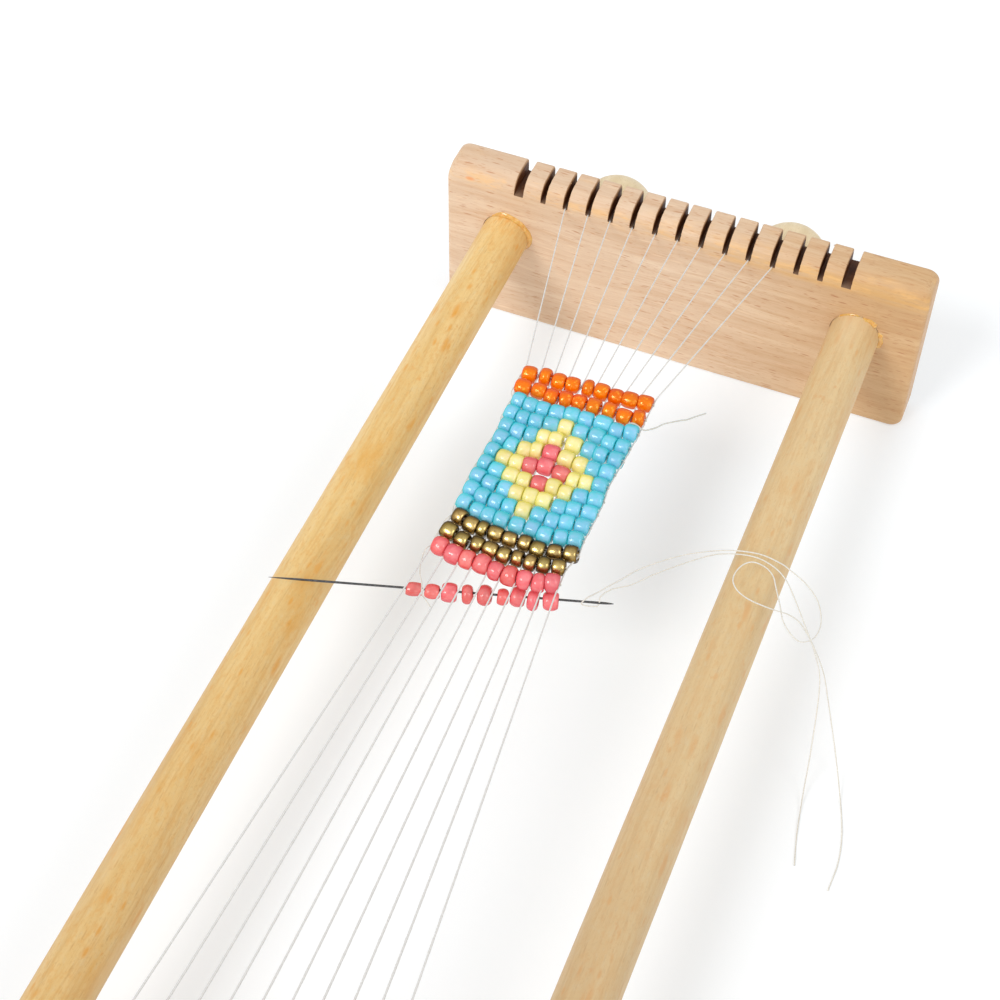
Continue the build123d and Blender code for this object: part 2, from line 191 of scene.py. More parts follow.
def smooth_path(points, step=0.3):
    """Catmull-Rom through the points."""
    P = np.array(points, float)
    P = np.concatenate([[2 * P[0] - P[1]], P, [2 * P[-1] - P[-2]]])
    out = []
    for i in range(1, len(P) - 2):
        p0, p1, p2, p3 = P[i - 1:i + 3]
        t = np.linspace(0, 1, 14, endpoint=False)[:, None]
        out.append(0.5 * ((2 * p1) + (-p0 + p2) * t + (2 * p0 - 5 * p1 + 4 * p2 - p3) * t * t
                          + (-p0 + 3 * p1 - 3 * p2 + p3) * t ** 3))
    out.append(P[-2][None])
    return resample(np.concatenate(out), step)


def path_frames(P):
    T = np.gradient(P, axis=0)
    T /= np.linalg.norm(T, axis=1)[:, None]
    N = np.zeros_like(P)
    ref = np.array([0, 0, 1.0]) if abs(T[0][2]) < 0.9 else np.array([1.0, 0, 0])
    n = np.cross(T[0], ref)
    n /= np.linalg.norm(n)
    for i in range(len(P)):
        n = n - T[i] * (n @ T[i])
        n /= np.linalg.norm(n)
        N[i] = n
    return T, N, np.cross(T, N)


def thread_shape(P, r, pitch=1.5, lobe=0.20, ring=8, fray=0.0, seed=1, close=True):
    """A two-ply twisted thread along P: a two-lobed section that turns as it runs."""
    T, N, B = path_frames(P)
    s = np.concatenate([[0], np.cumsum(np.linalg.norm(np.diff(P, axis=0), axis=1))])
    R = random.Random(seed)
    ph = R.random() * 6.28
    ang = np.linspace(0, 2 * math.pi, ring, endpoint=False)
    V = []
    for i in range(len(P)):
        turn = 2 * math.pi * s[i] / pitch + ph
        w = 1 + 0.05 * math.sin(s[i] * 0.9 + ph) + 0.04 * math.sin(s[i] * 2.7 + 2 * ph)
        rad = (r if np.isscalar(r) else r[i]) * w * (1 + lobe * np.cos(2 * (ang - turn)))
        V.append(P[i] + np.outer(rad * np.cos(ang), N[i]) + np.outer(rad * np.sin(ang), B[i]))
    V = np.concatenate(V)
    F = []
    m = len(P)
    for i in range(m - 1):
        for j in range(ring):
            a, b = i * ring + j, i * ring + (j + 1) % ring
            F.append((a, b, b + ring, a + ring))
    if close:
        F.append(tuple(range(ring))[::-1])
        F.append(tuple(range((m - 1) * ring, m * ring)))
    along = np.repeat(s, ring)
    return V, F, along


def lathe(profile, seg, centre, axis, closed=False, wobble=None):
    """Turns (radius, height) points round an axis. A radius of 0 at an end closes it to a point."""
    axis = np.array(axis, float) / np.linalg.norm(axis)
    ref = np.array([0, 0, 1.0]) if abs(axis[2]) < 0.9 else np.array([1.0, 0, 0])
    u = np.cross(ref, axis)
    u /= np.linalg.norm(u)
    v = np.cross(axis, u)
    V, F = [], []
    rings = []
    for (r, h) in profile:
        if r < 1e-6:
            rings.append([len(V)])
            V.append(centre + axis * h)
            continue
        ids = []
        for k in range(seg):
            a = 2 * math.pi * k / seg
            rr = r * (1 + (wobble(a, h) if wobble else 0))
            ids.append(len(V))
            V.append(centre + axis * h + u * rr * math.cos(a) + v * rr * math.sin(a))
        rings.append(ids)
    n = len(rings)
    for i in range(n if closed else n - 1):
        A, B = rings[i], rings[(i + 1) % n]
        for k in range(seg):
            k2 = (k + 1) % seg
            if len(A) == 1 and len(B) == 1:
                continue
            if len(A) == 1:
                F.append((A[0], B[k2], B[k]))
            elif len(B) == 1:
                F.append((A[k], A[k2], B[0]))
            else:
                F.append((A[k], A[k2], B[k2], B[k]))
    return np.array(V), F


# ============================================================ material helpers
def srgb(r, g, b):
    def f(c):
        c /= 255.0
        return c / 12.92 if c <= 0.04045 else ((c + 0.055) / 1.055) ** 2.4
    return (f(r), f(g), f(b), 1.0)


class Mat:
    def __init__(self, name, rough=0.5, spec=0.5):
        self.mat = bpy.data.materials.new(name)
        self.mat.use_nodes = True
        self.nt = self.mat.node_tree
        self.nt.nodes.clear()
        self.out = self.n("ShaderNodeOutputMaterial")
        self.bsdf = self.n("ShaderNodeBsdfPrincipled")
        self.nt.links.new(self.bsdf.outputs[0], self.out.inputs[0])
        self.tc = self.n("ShaderNodeTexCoord")
        self.p = self.vec("MULTIPLY", self.tc.outputs["Object"], (1000.0, 1000.0, 1000.0))
        self.normal = self.tc.outputs["Normal"]
        self.set(Roughness=rough)
        self.bsdf.inputs["Specular IOR Level"].default_value = spec

    def n(self, kind, **kw):
        node = self.nt.nodes.new(kind)
        for k, v in kw.items():
            setattr(node, k, v)
        return node

    def put(self, sock, val):
        if isinstance(val, bpy.types.NodeSocket):
            self.nt.links.new(val, sock)
        else:
            sock.default_value = val

    def set(self, **kw):
        for k, v in kw.items():
            self.put(self.bsdf.inputs[k.replace("_", " ")], v)

    def vec(self, op, a, b=None):
        node = self.n("ShaderNodeVectorMath", operation=op)
        self.put(node.inputs[0], a)
        if b is not None:
            self.put(node.inputs[1], b)
        return node.outputs["Value"] if op in ("LENGTH", "DOT_PRODUCT") else node.outputs[0]

    def math(self, op, a, b=None, clamp=False):
        node = self.n("ShaderNodeMath", operation=op, use_clamp=clamp)
        self.put(node.inputs[0], a)
        if b is not None:
            self.put(node.inputs[1], b)
        return node.outputs[0]

    def scaled(self, sx, sy, sz, src=None, shift=None):
        v = self.vec("MULTIPLY", src or self.p, (sx, sy, sz))
        return self.vec("ADD", v, shift) if shift else v

    def noise(self, vec, scale=1.0, detail=3.0, rough=0.5, distortion=0.0, color=False):
        node = self.n("ShaderNodeTexNoise")
        self.put(node.inputs["Vector"], vec)
        node.inputs["Scale"].default_value = scale
        node.inputs["Detail"].default_value = detail
        node.inputs["Roughness"].default_value = rough
        node.inputs["Distortion"].default_value = distortion
        return node.outputs["Color"] if color else node.outputs[0]

    def cells(self, vec, scale=1.0, rnd=1.0):
        node = self.n("ShaderNodeTexVoronoi")
        self.put(node.inputs["Vector"], vec)
        node.inputs["Scale"].default_value = scale
        node.inputs["Randomness"].default_value = rnd
        return node.outputs["Distance"], node.outputs["Color"]

    def split(self, vec):
        node = self.n("ShaderNodeSeparateXYZ")
        self.put(node.inputs[0], vec)
        return node.outputs

    def step(self, x, lo, hi, a=0.0, b=1.0):
        node = self.n("ShaderNodeMapRange", interpolation_type="SMOOTHSTEP", clamp=True)
        self.put(node.inputs["Value"], x)
        for k, v in (("From Min", lo), ("From Max", hi), ("To Min", a), ("To Max", b)):
            self.put(node.inputs[k], v)
        return node.outputs[0]

    def mix(self, fac, a, b, kind="MIX"):
        node = self.n("ShaderNodeMix", data_type="RGBA", blend_type=kind)
        self.put(node.inputs[0], fac)
        self.put(node.inputs[6], a)
        self.put(node.inputs[7], b)
        return node.outputs[2]

    def ramp(self, fac, stops):
        node = self.n("ShaderNodeValToRGB")
        self.put(node.inputs[0], fac)
        el = node.color_ramp.elements
        el[0].position, el[0].color = stops[0]
        el[1].position, el[1].color = stops[-1]
        for pos, col in stops[1:-1]:
            e = el.new(pos)
            e.color = col
        return node.outputs[0]

    def attr(self, name):
        node = self.n("ShaderNodeAttribute", attribute_type="GEOMETRY", attribute_name=name)
        return node.outputs["Fac"]

    def facing(self, blend=0.5):
        node = self.n("ShaderNodeLayerWeight")
        node.inputs["Blend"].default_value = blend
        return node.outputs["Facing"]

    def bump(self, height, mm, strength=1.0, normal=None):
        node = self.n("ShaderNodeBump")
        self.put(node.inputs["Height"], height)
        node.inputs["Distance"].default_value = mm * MM
        node.inputs["Strength"].default_value = strength
        if normal is not None:
            self.put(node.inputs["Normal"], normal)
        return node.outputs[0]

    def hsv(self, col, h=0.5, s=1.0, v=1.0):
        node = self.n("ShaderNodeHueSaturation")
        self.put(node.inputs["Hue"], h)
        self.put(node.inputs["Saturation"], s)
        self.put(node.inputs["Value"], v)
        self.put(node.inputs["Color"], col)
        return node.outputs[0]


def dress(ob, mat):
    ob.data.materials.clear()
    ob.data.materials.append(mat)


# ============================================================ materials
def board_wood():
    """Steamed beech, grain along X: pinkish tan, fine dashes, soft bands, painted shade towards +X and down in the saw
    cuts.
    """
    m = Mat("board_wood", rough=0.5, spec=0.35)
    drift = m.vec("SUBTRACT", m.noise(m.scaled(0.018, 0.05, 0.05), 1.0, 2.0, 0.5, color=True), (0.5, 0.5, 0.5))
    p = m.vec("ADD", m.p, m.vec("MULTIPLY", drift, (0.0, 7.0, 7.0)))
    bands = m.noise(m.scaled(0.010, 0.16, 0.20, p), 1.0, 3.0, 0.55)
    lines = m.noise(m.scaled(0.045, 0.9, 1.25, p), 1.0, 4.0, 0.62)
    fine = m.noise(m.scaled(0.22, 4.2, 5.5, p), 1.0, 3.0, 0.6)
    col = m.ramp(bands, [(0.28, srgb(212, 179, 147)), (0.5, srgb(222, 193, 164)), (0.72, srgb(232, 207, 180))])
    col = m.mix(m.step(lines, 0.45, 0.68, 0.0, 0.55), col, srgb(208, 168, 132))
    col = m.mix(m.step(fine, 0.50, 0.75, 0.0, 0.40), col, srgb(196, 150, 114))
    # short rays seen edge on: reddish dashes in three lengths
    for sx, sz, shift, lo, hi, amount, dash in (
        (0.17, 1.25, (3.1, 7.7, 1.3), 0.10, 0.26, 0.62, srgb(182, 118, 78)),
        (0.30, 1.9, (9.4, 2.2, 5.9), 0.10, 0.27, 0.52, srgb(190, 128, 88)),
        (0.52, 3.1, (1.7, 4.4, 8.2), 0.08, 0.24, 0.40, srgb(180, 124, 88)),
    ):
        d, c = m.cells(m.scaled(sx, sz, sz, p, shift), 1.0, 1.0)
        pick = m.step(m.split(c)[0], 0.42, 0.60)
        mask = m.math("MULTIPLY", m.step(d, lo, hi, 1.0, 0.0), pick)
        col = m.mix(m.math("MULTIPLY", mask, amount), col, dash)
    # pale streaks between them
    d, c = m.cells(m.scaled(0.12, 1.0, 1.5, p, (5.5, 1.1, 2.2)), 1.0, 1.0)
    pale = m.math("MULTIPLY", m.step(d, 0.1, 0.35, 1.0, 0.0), m.step(m.split(c)[1], 0.5, 0.8))
    col = m.mix(m.math("MULTIPLY", pale, 0.45), col, srgb(240, 212, 180))
    # painted shade: warmer and darker towards +X, away from the key light; and an orange cast where the top edge was
    # rounded over
    x, y, z = m.split(m.p)
    col = m.mix(m.step(x, -8.0, 58.0, 0.0, 0.86), col, m.mix(1.0, col, srgb(231, 213, 178), "MULTIPLY"))
    zz = m.math("ADD", z, m.math("MULTIPLY", m.math("SUBTRACT", m.noise(m.scaled(0.09, 0.3, 0.3), 1.0, 3.0, 0.6), 0.5), 5.0))
    edge = m.math("MULTIPLY", m.step(zz, 38.5, 42.2), m.step(zz, 42.4, 45.4, 1.0, 0.0))
    blot = m.step(m.noise(m.scaled(0.14, 0.3, 0.55), 1.0, 4.0, 0.65), 0.46, 0.66)
    col = m.mix(m.math("MULTIPLY", m.math("MULTIPLY", edge, blot), 0.50), col, srgb(242, 192, 126))
    golden = m.math("MULTIPLY", m.math("MULTIPLY", m.step(zz, 38.6, 41.0), m.step(zz, 42.0, 45.0, 1.0, 0.0)), m.step(x, -30.0, 35.0, 0.06, 0.50))
    golden = m.math("MULTIPLY", golden, m.step(lines, 0.34, 0.56, 0.25, 1.0))
    col = m.mix(golden, col, srgb(220, 174, 106))
    # one small resin fleck near the upper left
    away = m.vec("LENGTH", m.vec("MULTIPLY", m.vec("SUBTRACT", m.p, (-54.0, -5.0, 42.0)), (0.55, 0.3, 1.5)))
    col = m.mix(m.step(away, 0.25, 0.95, 0.75, 0.0), col, srgb(232, 150, 84))
    # end grain on the two ends
    ends = m.step(m.math("ABSOLUTE", m.split(m.normal)[0]), 0.72, 0.94)
    rings = m.noise(m.scaled(0.2, 0.5, 1.6), 1.0, 4.0, 0.65)
    eg = m.ramp(rings, [(0.3, srgb(190, 148, 108)), (0.7, srgb(222, 186, 146))])
    pd, pc = m.cells(m.scaled(3.0, 3.6, 3.6), 1.0, 1.0)
    eg = m.mix(m.step(pd, 0.12, 0.3, 0.5, 0.0), eg, srgb(150, 108, 74))
    col = m.mix(ends, col, eg)
    # saw cuts: tan at the mouth, painted shade below: dark brown deeper down the narrow cut, where shade falls
    cut = m.attr("cut")
    deep = m.step(m.attr("below"), 0.25, 1.5)
    slot_shade_noise = m.noise(m.scaled(0.5, 0.35, 1.2), 1.0, 3.0, 0.6)
    slot_shade = m.ramp(slot_shade_noise, [(0.35, srgb(84, 42, 16)), (0.62, srgb(112, 66, 32)), (0.8, srgb(146, 98, 58))])
    # painted light: the floor of a cut is greyer and paler near its inner mouth, where light reaches in
    lit_slot_floor = m.math("MULTIPLY", m.step(m.split(m.normal)[2], 0.6, 0.9), m.step(m.attr("inset"), 0.2, 3.6, 1.0, 0.0))
    slot_shade = m.mix(m.math("MULTIPLY", lit_slot_floor, 0.7), slot_shade, srgb(150, 122, 98))
    wall = m.mix(deep, srgb(206, 164, 120), slot_shade)
    col = m.mix(cut, col, wall)
    m.set(Base_Color=col)
    m.set(Roughness=m.step(fine, 0.3, 0.7, 0.44, 0.58))
    h = m.math("ADD", m.math("MULTIPLY", fine, 0.6), m.math("MULTIPLY", lines, 0.5))
    m.set(Normal=m.bump(h, 0.035, 0.6))
    return m.mat


def rail_wood():
    """Yellower dowel stock, long grain along Y, amber stains."""
    m = Mat("rail_wood", rough=0.46, spec=0.4)
    drift = m.vec("SUBTRACT", m.noise(m.scaled(0.05, 0.012, 0.05), 1.0, 2.0, 0.5, color=True), (0.5, 0.5, 0.5))
    p = m.vec("ADD", m.p, m.vec("MULTIPLY", drift, (5.0, 0.0, 5.0)))
    bands = m.noise(m.scaled(0.22, 0.012, 0.22, p), 1.0, 3.0, 0.55)
    lines = m.noise(m.scaled(1.1, 0.035, 1.1, p), 1.0, 4.0, 0.6)
    fine = m.noise(m.scaled(4.5, 0.16, 4.5, p), 1.0, 3.0, 0.6)
    col = m.ramp(bands, [(0.3, srgb(220, 182, 116)), (0.5, srgb(230, 194, 128)), (0.7, srgb(238, 206, 144))])
    col = m.mix(m.step(lines, 0.46, 0.70, 0.0, 0.50), col, srgb(212, 166, 98))
    col = m.mix(m.step(fine, 0.52, 0.76, 0.0, 0.32), col, srgb(200, 152, 90))
    for sx, sy, shift, amount, dash in (
        (1.4, 0.16, (2.1, 6.7, 3.3), 0.38, srgb(188, 136, 72)),
        (2.6, 0.34, (7.4, 1.2, 5.1), 0.34, srgb(192, 140, 80)),
    ):
        d, c = m.cells(m.scaled(sx, sy, sx, p, shift), 1.0, 1.0)
        pick = m.step(m.split(c)[0], 0.45, 0.65)
        col = m.mix(m.math("MULTIPLY", m.math("MULTIPLY", m.step(d, 0.08, 0.25, 1.0, 0.0), pick), amount), col, dash)
    stain = m.noise(m.scaled(0.13, 0.035, 0.13, None, (4.0, 2.0, 9.0)), 1.0, 4.0, 0.62)
    col = m.mix(m.step(stain, 0.54, 0.72, 0.0, 0.62), col, srgb(226, 168, 76))
    spots = m.noise(m.scaled(0.5, 0.22, 0.5, None, (1.0, 8.0, 3.0)), 1.0, 3.0, 0.6)
    col = m.mix(m.step(spots, 0.66, 0.76, 0.0, 0.6), col, srgb(222, 150, 58))
    # small amber flecks strung along the grain
    for sx, sy, shift, lo, amount in ((0.36, 0.085, (2.5, 7.1, 4.4), 0.44, 0.70), (0.62, 0.20, (6.6, 1.9, 8.3), 0.54, 0.66)):
        fd, fc = m.cells(m.scaled(sx, sy, sx, p, shift), 1.0, 1.0)
        soft = m.step(m.math("ADD", fd, m.math("MULTIPLY", m.math("SUBTRACT", fine, 0.5), 0.22)), 0.08, 0.34, 1.0, 0.0)
        col = m.mix(m.math("MULTIPLY", m.math("MULTIPLY", soft, m.step(m.split(fc)[1], lo, lo + 0.16)), amount), col, srgb(226, 156, 54))
    # close mottling: golden and greyish patches a millimetre or two across, with pores between
    mott = m.noise(m.scaled(0.95, 0.36, 0.95, p, (3.0, 5.0, 7.0)), 1.0, 4.0, 0.72)
    col = m.mix(m.step(mott, 0.49, 0.66, 0.0, 0.44), col, srgb(224, 168, 88))
    col = m.mix(m.step(mott, 0.30, 0.47, 0.38, 0.0), col, srgb(224, 202, 154))
    pores = m.noise(m.scaled(2.6, 1.5, 2.6), 1.0, 3.0, 0.7)
    col = m.mix(m.step(pores, 0.54, 0.70, 0.0, 0.24), col, srgb(186, 142, 84))
    pale = m.noise(m.scaled(0.10, 0.02, 0.10, None, (7.0, 3.0, 1.0)), 1.0, 2.0, 0.5)
    col = m.mix(m.step(pale, 0.56, 0.74, 0.0, 0.5), col, srgb(240, 214, 162))
    # rings on the sawn ends
    ends = m.step(m.math("ABSOLUTE", m.split(m.normal)[1]), 0.75, 0.95)
    rr = m.noise(m.scaled(0.9, 0.2, 0.3), 1.0, 3.0, 0.6)
    col = m.mix(ends, col, m.ramp(rr, [(0.3, srgb(196, 150, 92)), (0.7, srgb(226, 188, 128))]))
    # the right-hand dowel is the paler of the two
    right = m.step(m.split(m.p)[0], -5.0, 5.0)
    col = m.mix(right, col, m.hsv(m.mix(0.20, col, srgb(222, 198, 160)), 0.5, 0.90, 0.905))
    col = m.mix(m.step(m.split(m.p)[1], -200.0, -90.0, 0.85, 0.0), col, m.mix(1.0, col, srgb(240, 237, 238), "MULTIPLY"))
    m.set(Base_Color=col)
    m.set(Roughness=m.step(fine, 0.3, 0.7, 0.40, 0.55))
    h = m.math("ADD", m.math("MULTIPLY", fine, 0.6), m.math("MULTIPLY", lines, 0.6))
    m.set(Normal=m.bump(h, 0.04, 0.6))
    return m.mat


def knob_wood():
    """Pale unstained turned wood."""
    m = Mat("knob_wood", rough=0.48, spec=0.4)
    bands = m.noise(m.scaled(0.35, 0.05, 0.30), 1.0, 3.0, 0.55)
    fine = m.noise(m.scaled(3.2, 0.35, 3.2), 1.0, 3.0, 0.6)
    col = m.ramp(bands, [(0.3, srgb(225, 204, 164)), (0.55, srgb(235, 216, 180)), (0.75, srgb(240, 226, 195))])
    col = m.mix(m.step(fine, 0.5, 0.74, 0.0, 0.45), col, srgb(206, 184, 138))
    d, c = m.cells(m.scaled(1.9, 0.45, 1.9), 1.0, 1.0)
    pick = m.step(m.split(c)[0], 0.5, 0.7)
    col = m.mix(m.math("MULTIPLY", m.math("MULTIPLY", m.step(d, 0.08, 0.24, 1.0, 0.0), pick), 0.35), col, srgb(186, 158, 110))
    m.set(Base_Color=col)
    m.set(Roughness=m.step(fine, 0.3, 0.7, 0.42, 0.56))
    m.set(Normal=m.bump(m.math("ADD", fine, bands), 0.03, 0.6))
    return m.mat


def glue():
    m = Mat("set_glue", rough=0.22, spec=0.5)
    n = m.noise(m.scaled(0.9, 0.9, 0.9), 1.0, 3.0, 0.6)
    m.set(Base_Color=m.ramp(n, [(0.3, srgb(212, 148, 68)), (0.55, srgb(226, 172, 92)), (0.75, srgb(234, 194, 128))]))
    m.set(Subsurface_Weight=0.35, Subsurface_Radius=(0.0012, 0.0007, 0.0003), Subsurface_Scale=1.0)
    m.set(Coat_Weight=0.2, Coat_Roughness=0.2)
    m.set(Normal=m.bump(m.noise(m.scaled(1.6, 1.6, 1.6), 1.0, 2.0, 0.5), 0.05, 0.5))
    return m.mat


def steel(name, col_a, col_b, rough_a, rough_b, stretch=(1.0, 1.0, 1.0)):
    m = Mat(name, rough=0.3, spec=0.5)
    n = m.noise(m.scaled(*stretch), 1.0, 4.0, 0.6)
    m.set(Base_Color=m.ramp(n, [(0.3, col_a), (0.7, col_b)]))
    m.set(Metallic=1.0, Roughness=m.step(n, 0.3, 0.7, rough_a, rough_b))
    m.set(Normal=m.bump(n, 0.006, 0.5))
    return m.mat


def thread_fibre(name, pale, shade, shade_in_slots=False, see_through=0.0):
    """Off-white thread: fine fibres along the plies, greyer flecks; for the warps, painted shade where they lie down in
    the saw cuts.
    """
    m = Mat(name, rough=0.62, spec=0.3)
    n = m.noise(m.scaled(3.0, 3.0, 3.0), 1.0, 3.0, 0.6)
    fine = m.noise(m.scaled(14.0, 14.0, 14.0), 1.0, 2.0, 0.6)
    col = m.ramp(n, [(0.3, shade), (0.7, pale)])
    col = m.mix(m.step(fine, 0.55, 0.8, 0.0, 0.35), col, srgb(184, 182, 174))
    if shade_in_slots:
        # painted shade: brown where the warp lies down in a saw cut
        col = m.mix(m.math("MULTIPLY", m.attr("shade"), 0.85), col, srgb(96, 70, 48))
    m.set(Base_Color=col)
    m.set(Normal=m.bump(fine, 0.015, 0.6))
    m.set(Alpha=m.math("SUBTRACT", 1.0, m.math("MULTIPLY", m.facing(0.35), see_through)) if see_through else 1.0)
    return m.mat


def glass(name, centre, body, rim, rough=0.12, vary=0.10, sss=0.25, radius=(0.001, 0.0006, 0.0004),
          painted_sheen=None, painted_sheen_amount=0.0, blend=0.42, coat=0.9, glow=None, spec=0.5, tint=None, glint=False):
    """Opaque or milky glass with painted sheen: by facing, the colour is lighter at the crown and deepens towards the
    rim; each bead differs a little.
    """
    m = Mat(name, rough=rough, spec=spec)
    if tint:
        m.set(Specular_Tint=tint)
    rnd = m.attr("rnd")
    f = m.facing(blend)
    # painted sheen and shade: by facing, a lighter crown, the body colour, then a deeper rim
    col = m.ramp(f, [(0.0, centre), (0.38, body), (0.92, rim)])
    cloud = m.noise(m.scaled(0.9, 0.9, 0.9), 1.0, 3.0, 0.55)
    # painted sheen: soft pale patches over the crown, mixed into the colour
    if painted_sheen is not None:
        patch = m.noise(m.scaled(0.55, 0.55, 0.55), 1.0, 2.0, 0.5)
        mask = m.math("MULTIPLY", m.step(f, 0.05, 0.6, 1.0, 0.0), m.step(patch, 0.38, 0.62, 0.35, 1.0))
        if glint:
            # light gathered inside clear glass: small bright patches rather than a soft sheen
            spark = m.noise(m.scaled(1.25, 1.25, 1.25), 1.0, 2.0, 0.55)
            mask = m.math("MULTIPLY", m.step(f, 0.02, 0.45, 1.0, 0.0), m.step(spark, 0.54, 0.66))
        col = m.mix(m.math("MULTIPLY", mask, painted_sheen_amount), col, painted_sheen)
    col = m.mix(m.step(cloud, 0.35, 0.7, 0.0, 0.25), col, body)
    val = m.step(rnd, 0.0, 1.0, 1.0 - vary, 1.0 + vary)
    hue = m.step(m.math("FRACT", m.math("MULTIPLY", rnd, 7.31)), 0.0, 1.0, 0.5 - vary * 0.07, 0.5 + vary * 0.07)
    m.set(Base_Color=m.hsv(col, hue, 1.0, val))
    m.set(Subsurface_Weight=sss, Subsurface_Radius=radius, Subsurface_Scale=1.0)
    m.set(Coat_Weight=coat, Coat_Roughness=0.05, Coat_IOR=1.5)
    if glow:
        # painted light: a faint glow stands in for light passed on from bead to bead, keeping the gaps bright and
        # coloured
        m.set(Emission_Color=glow[0], Emission_Strength=glow[1])
    m.set(Normal=m.bump(m.noise(m.scaled(0.8, 0.8, 0.8), 1.0, 2.0, 0.5), 0.10, 0.5))
    return m.mat


def bronze():
    """Metal-lined bronze glass: painted reflection by facing, a golden crown and a near-black rim."""
    m = Mat("bronze_glass", rough=0.26, spec=0.5)
    rnd = m.attr("rnd")
    f = m.facing(0.45)
    # painted reflection: bright golden where the bead faces the view, near black at the rim
    col = m.ramp(f, [(0.0, srgb(232, 204, 132)), (0.22, srgb(164, 136, 72)), (0.46, srgb(86, 66, 26)), (0.82, srgb(22, 14, 4))])
    cloud = m.noise(m.scaled(1.1, 1.1, 1.1), 1.0, 4.0, 0.6)
    col = m.mix(m.step(cloud, 0.45, 0.75, 0.0, 0.5), col, srgb(84, 58, 26))
    m.set(Base_Color=m.hsv(col, m.step(m.math("FRACT", m.math("MULTIPLY", rnd, 5.7)), 0.0, 1.0, 0.49, 0.505), 1.0,
                           m.step(rnd, 0.0, 1.0, 0.85, 1.12)))
    m.set(Metallic=0.95, Roughness=m.step(cloud, 0.3, 0.7, 0.20, 0.32))
    m.set(Coat_Weight=0.15, Coat_Roughness=0.08)
    m.set(Normal=m.bump(m.noise(m.scaled(1.6, 1.6, 1.6), 1.0, 3.0, 0.5), 0.05, 0.5))
    return m.mat


M = {
    "board": board_wood(),
    "rail": rail_wood(),
    "knob": knob_wood(),
    "glue": glue(),
    "screw": steel("screw_steel", srgb(188, 188, 186), srgb(204, 204, 201), 0.24, 0.31, (0.8, 0.8, 0.8)),
    "needle": steel("needle_steel", srgb(84, 84, 86), srgb(120, 120, 122), 0.18, 0.30, (3.0, 3.0, 3.0)),
    "warp": thread_fibre("warp_thread", srgb(226, 225, 223), srgb(210, 209, 205), True),
    "weft": thread_fibre("weft_thread", srgb(232, 229, 221), srgb(212, 208, 197)),
    "tail": thread_fibre("tail_thread", srgb(212, 212, 205), srgb(190, 190, 182)),
    "O": glass("orange_glass", srgb(232, 121, 8), srgb(221, 85, 0), srgb(188, 44, 0), rough=0.11, vary=0.08, sss=0.3,
               radius=(0.0016, 0.0006, 0.0001), glow=(srgb(252, 84, 0), 0.07), coat=0.22, spec=0.80, tint=(1.0, 0.66, 0.22, 1),
               painted_sheen=srgb(255, 190, 62), painted_sheen_amount=0.62, glint=True),
    "B": glass("blue_glass", srgb(114, 190, 212), srgb(58, 188, 200), srgb(6, 172, 184), rough=0.17, vary=0.07, sss=0.25,
               radius=(0.0004, 0.0010, 0.0012), painted_sheen=srgb(166, 186, 226), painted_sheen_amount=0.50, glow=(srgb(8, 188, 196), 0.15),
               coat=0.30, spec=0.45, tint=(0.90, 0.88, 1.0, 1)),
    "Y": glass("cream_glass", srgb(227, 213, 144), srgb(219, 206, 102), srgb(212, 196, 62), rough=0.18, vary=0.06, sss=0.3,
               radius=(0.0014, 0.0012, 0.0004), painted_sheen=srgb(246, 230, 204), painted_sheen_amount=0.46, glow=(srgb(218, 214, 88), 0.13),
               coat=0.25, spec=0.40, tint=(1.0, 0.96, 0.88, 1)),
    "P": glass("pink_glass", srgb(224, 108, 112), srgb(213, 76, 84), srgb(184, 40, 47), rough=0.15, vary=0.08, sss=0.3,
               radius=(0.0014, 0.0004, 0.0004), painted_sheen=srgb(244, 176, 172), painted_sheen_amount=0.32, glow=(srgb(232, 60, 66), 0.09),
               coat=0.30, spec=0.45, tint=(1.0, 0.86, 0.80, 1)),
    "G": bronze(),
}
M["E"] = M["P"]


# ============================================================ end boards
CORNER_R, SIDE_R, BOTTOM_R, TOP_IN_R, TOP_OUT_R = 3.0, 1.0, 0.9, 4.2, 1.6


def ease(d, r):
    """How far a surface stands in from its full line at distance d from a face, for an edge radius r."""
    if d >= r:
        return 0.0
    return r - math.sqrt(max(0.0, r * r - (r - d) ** 2))


def board_outline(side, bottom, ztop, jig):
    def arc(cx, cz, r, a0, a1, n):
        return [(cx + r * math.cos(math.radians(a0 + (a1 - a0) * k / n)),
                 cz + r * math.sin(math.radians(a0 + (a1 - a0) * k / n))) for k in range(n + 1)]
    x1, r = BOARD_W / 2 - side, CORNER_R
    pts = arc(-x1 + r, bottom + r, r, 180, 270, 8) + arc(x1 - r, bottom + r, r, 270, 360, 8)
    pts += arc(x1 - r, ztop - r, r, 0, 90, 8)
    for i in reversed(range(len(SLOT_X))):
        w = (SLOT_W_END if i in (0, len(SLOT_X) - 1) else SLOT_W) / 2
        jr, jl = jig[i]
        xr, xl = SLOT_X[i] + w + jr, SLOT_X[i] - w + jl
        depth = ztop - SLOT_FLOOR
        t, f = min(0.28, depth * 0.45), min(0.14, depth * 0.3)
        pts += [(xr + t - t * math.sin(a), ztop - t + t * math.cos(a)) for a in (0, 0.52, 1.05, 1.5708)]
        pts += [(xr, SLOT_FLOOR + f), (xr - 0.3 * f, SLOT_FLOOR + 0.3 * f), (xr - f, SLOT_FLOOR)]
        pts += [(xl + f, SLOT_FLOOR), (xl + 0.3 * f, SLOT_FLOOR + 0.3 * f), (xl, SLOT_FLOOR + f)]
        pts += [(xl - t + t * math.sin(a), ztop - t + t * math.cos(a)) for a in (1.5708, 1.05, 0.52, 0)]
    pts += arc(-x1 + r, ztop - r, r, 90, 180, 8)
    return pts


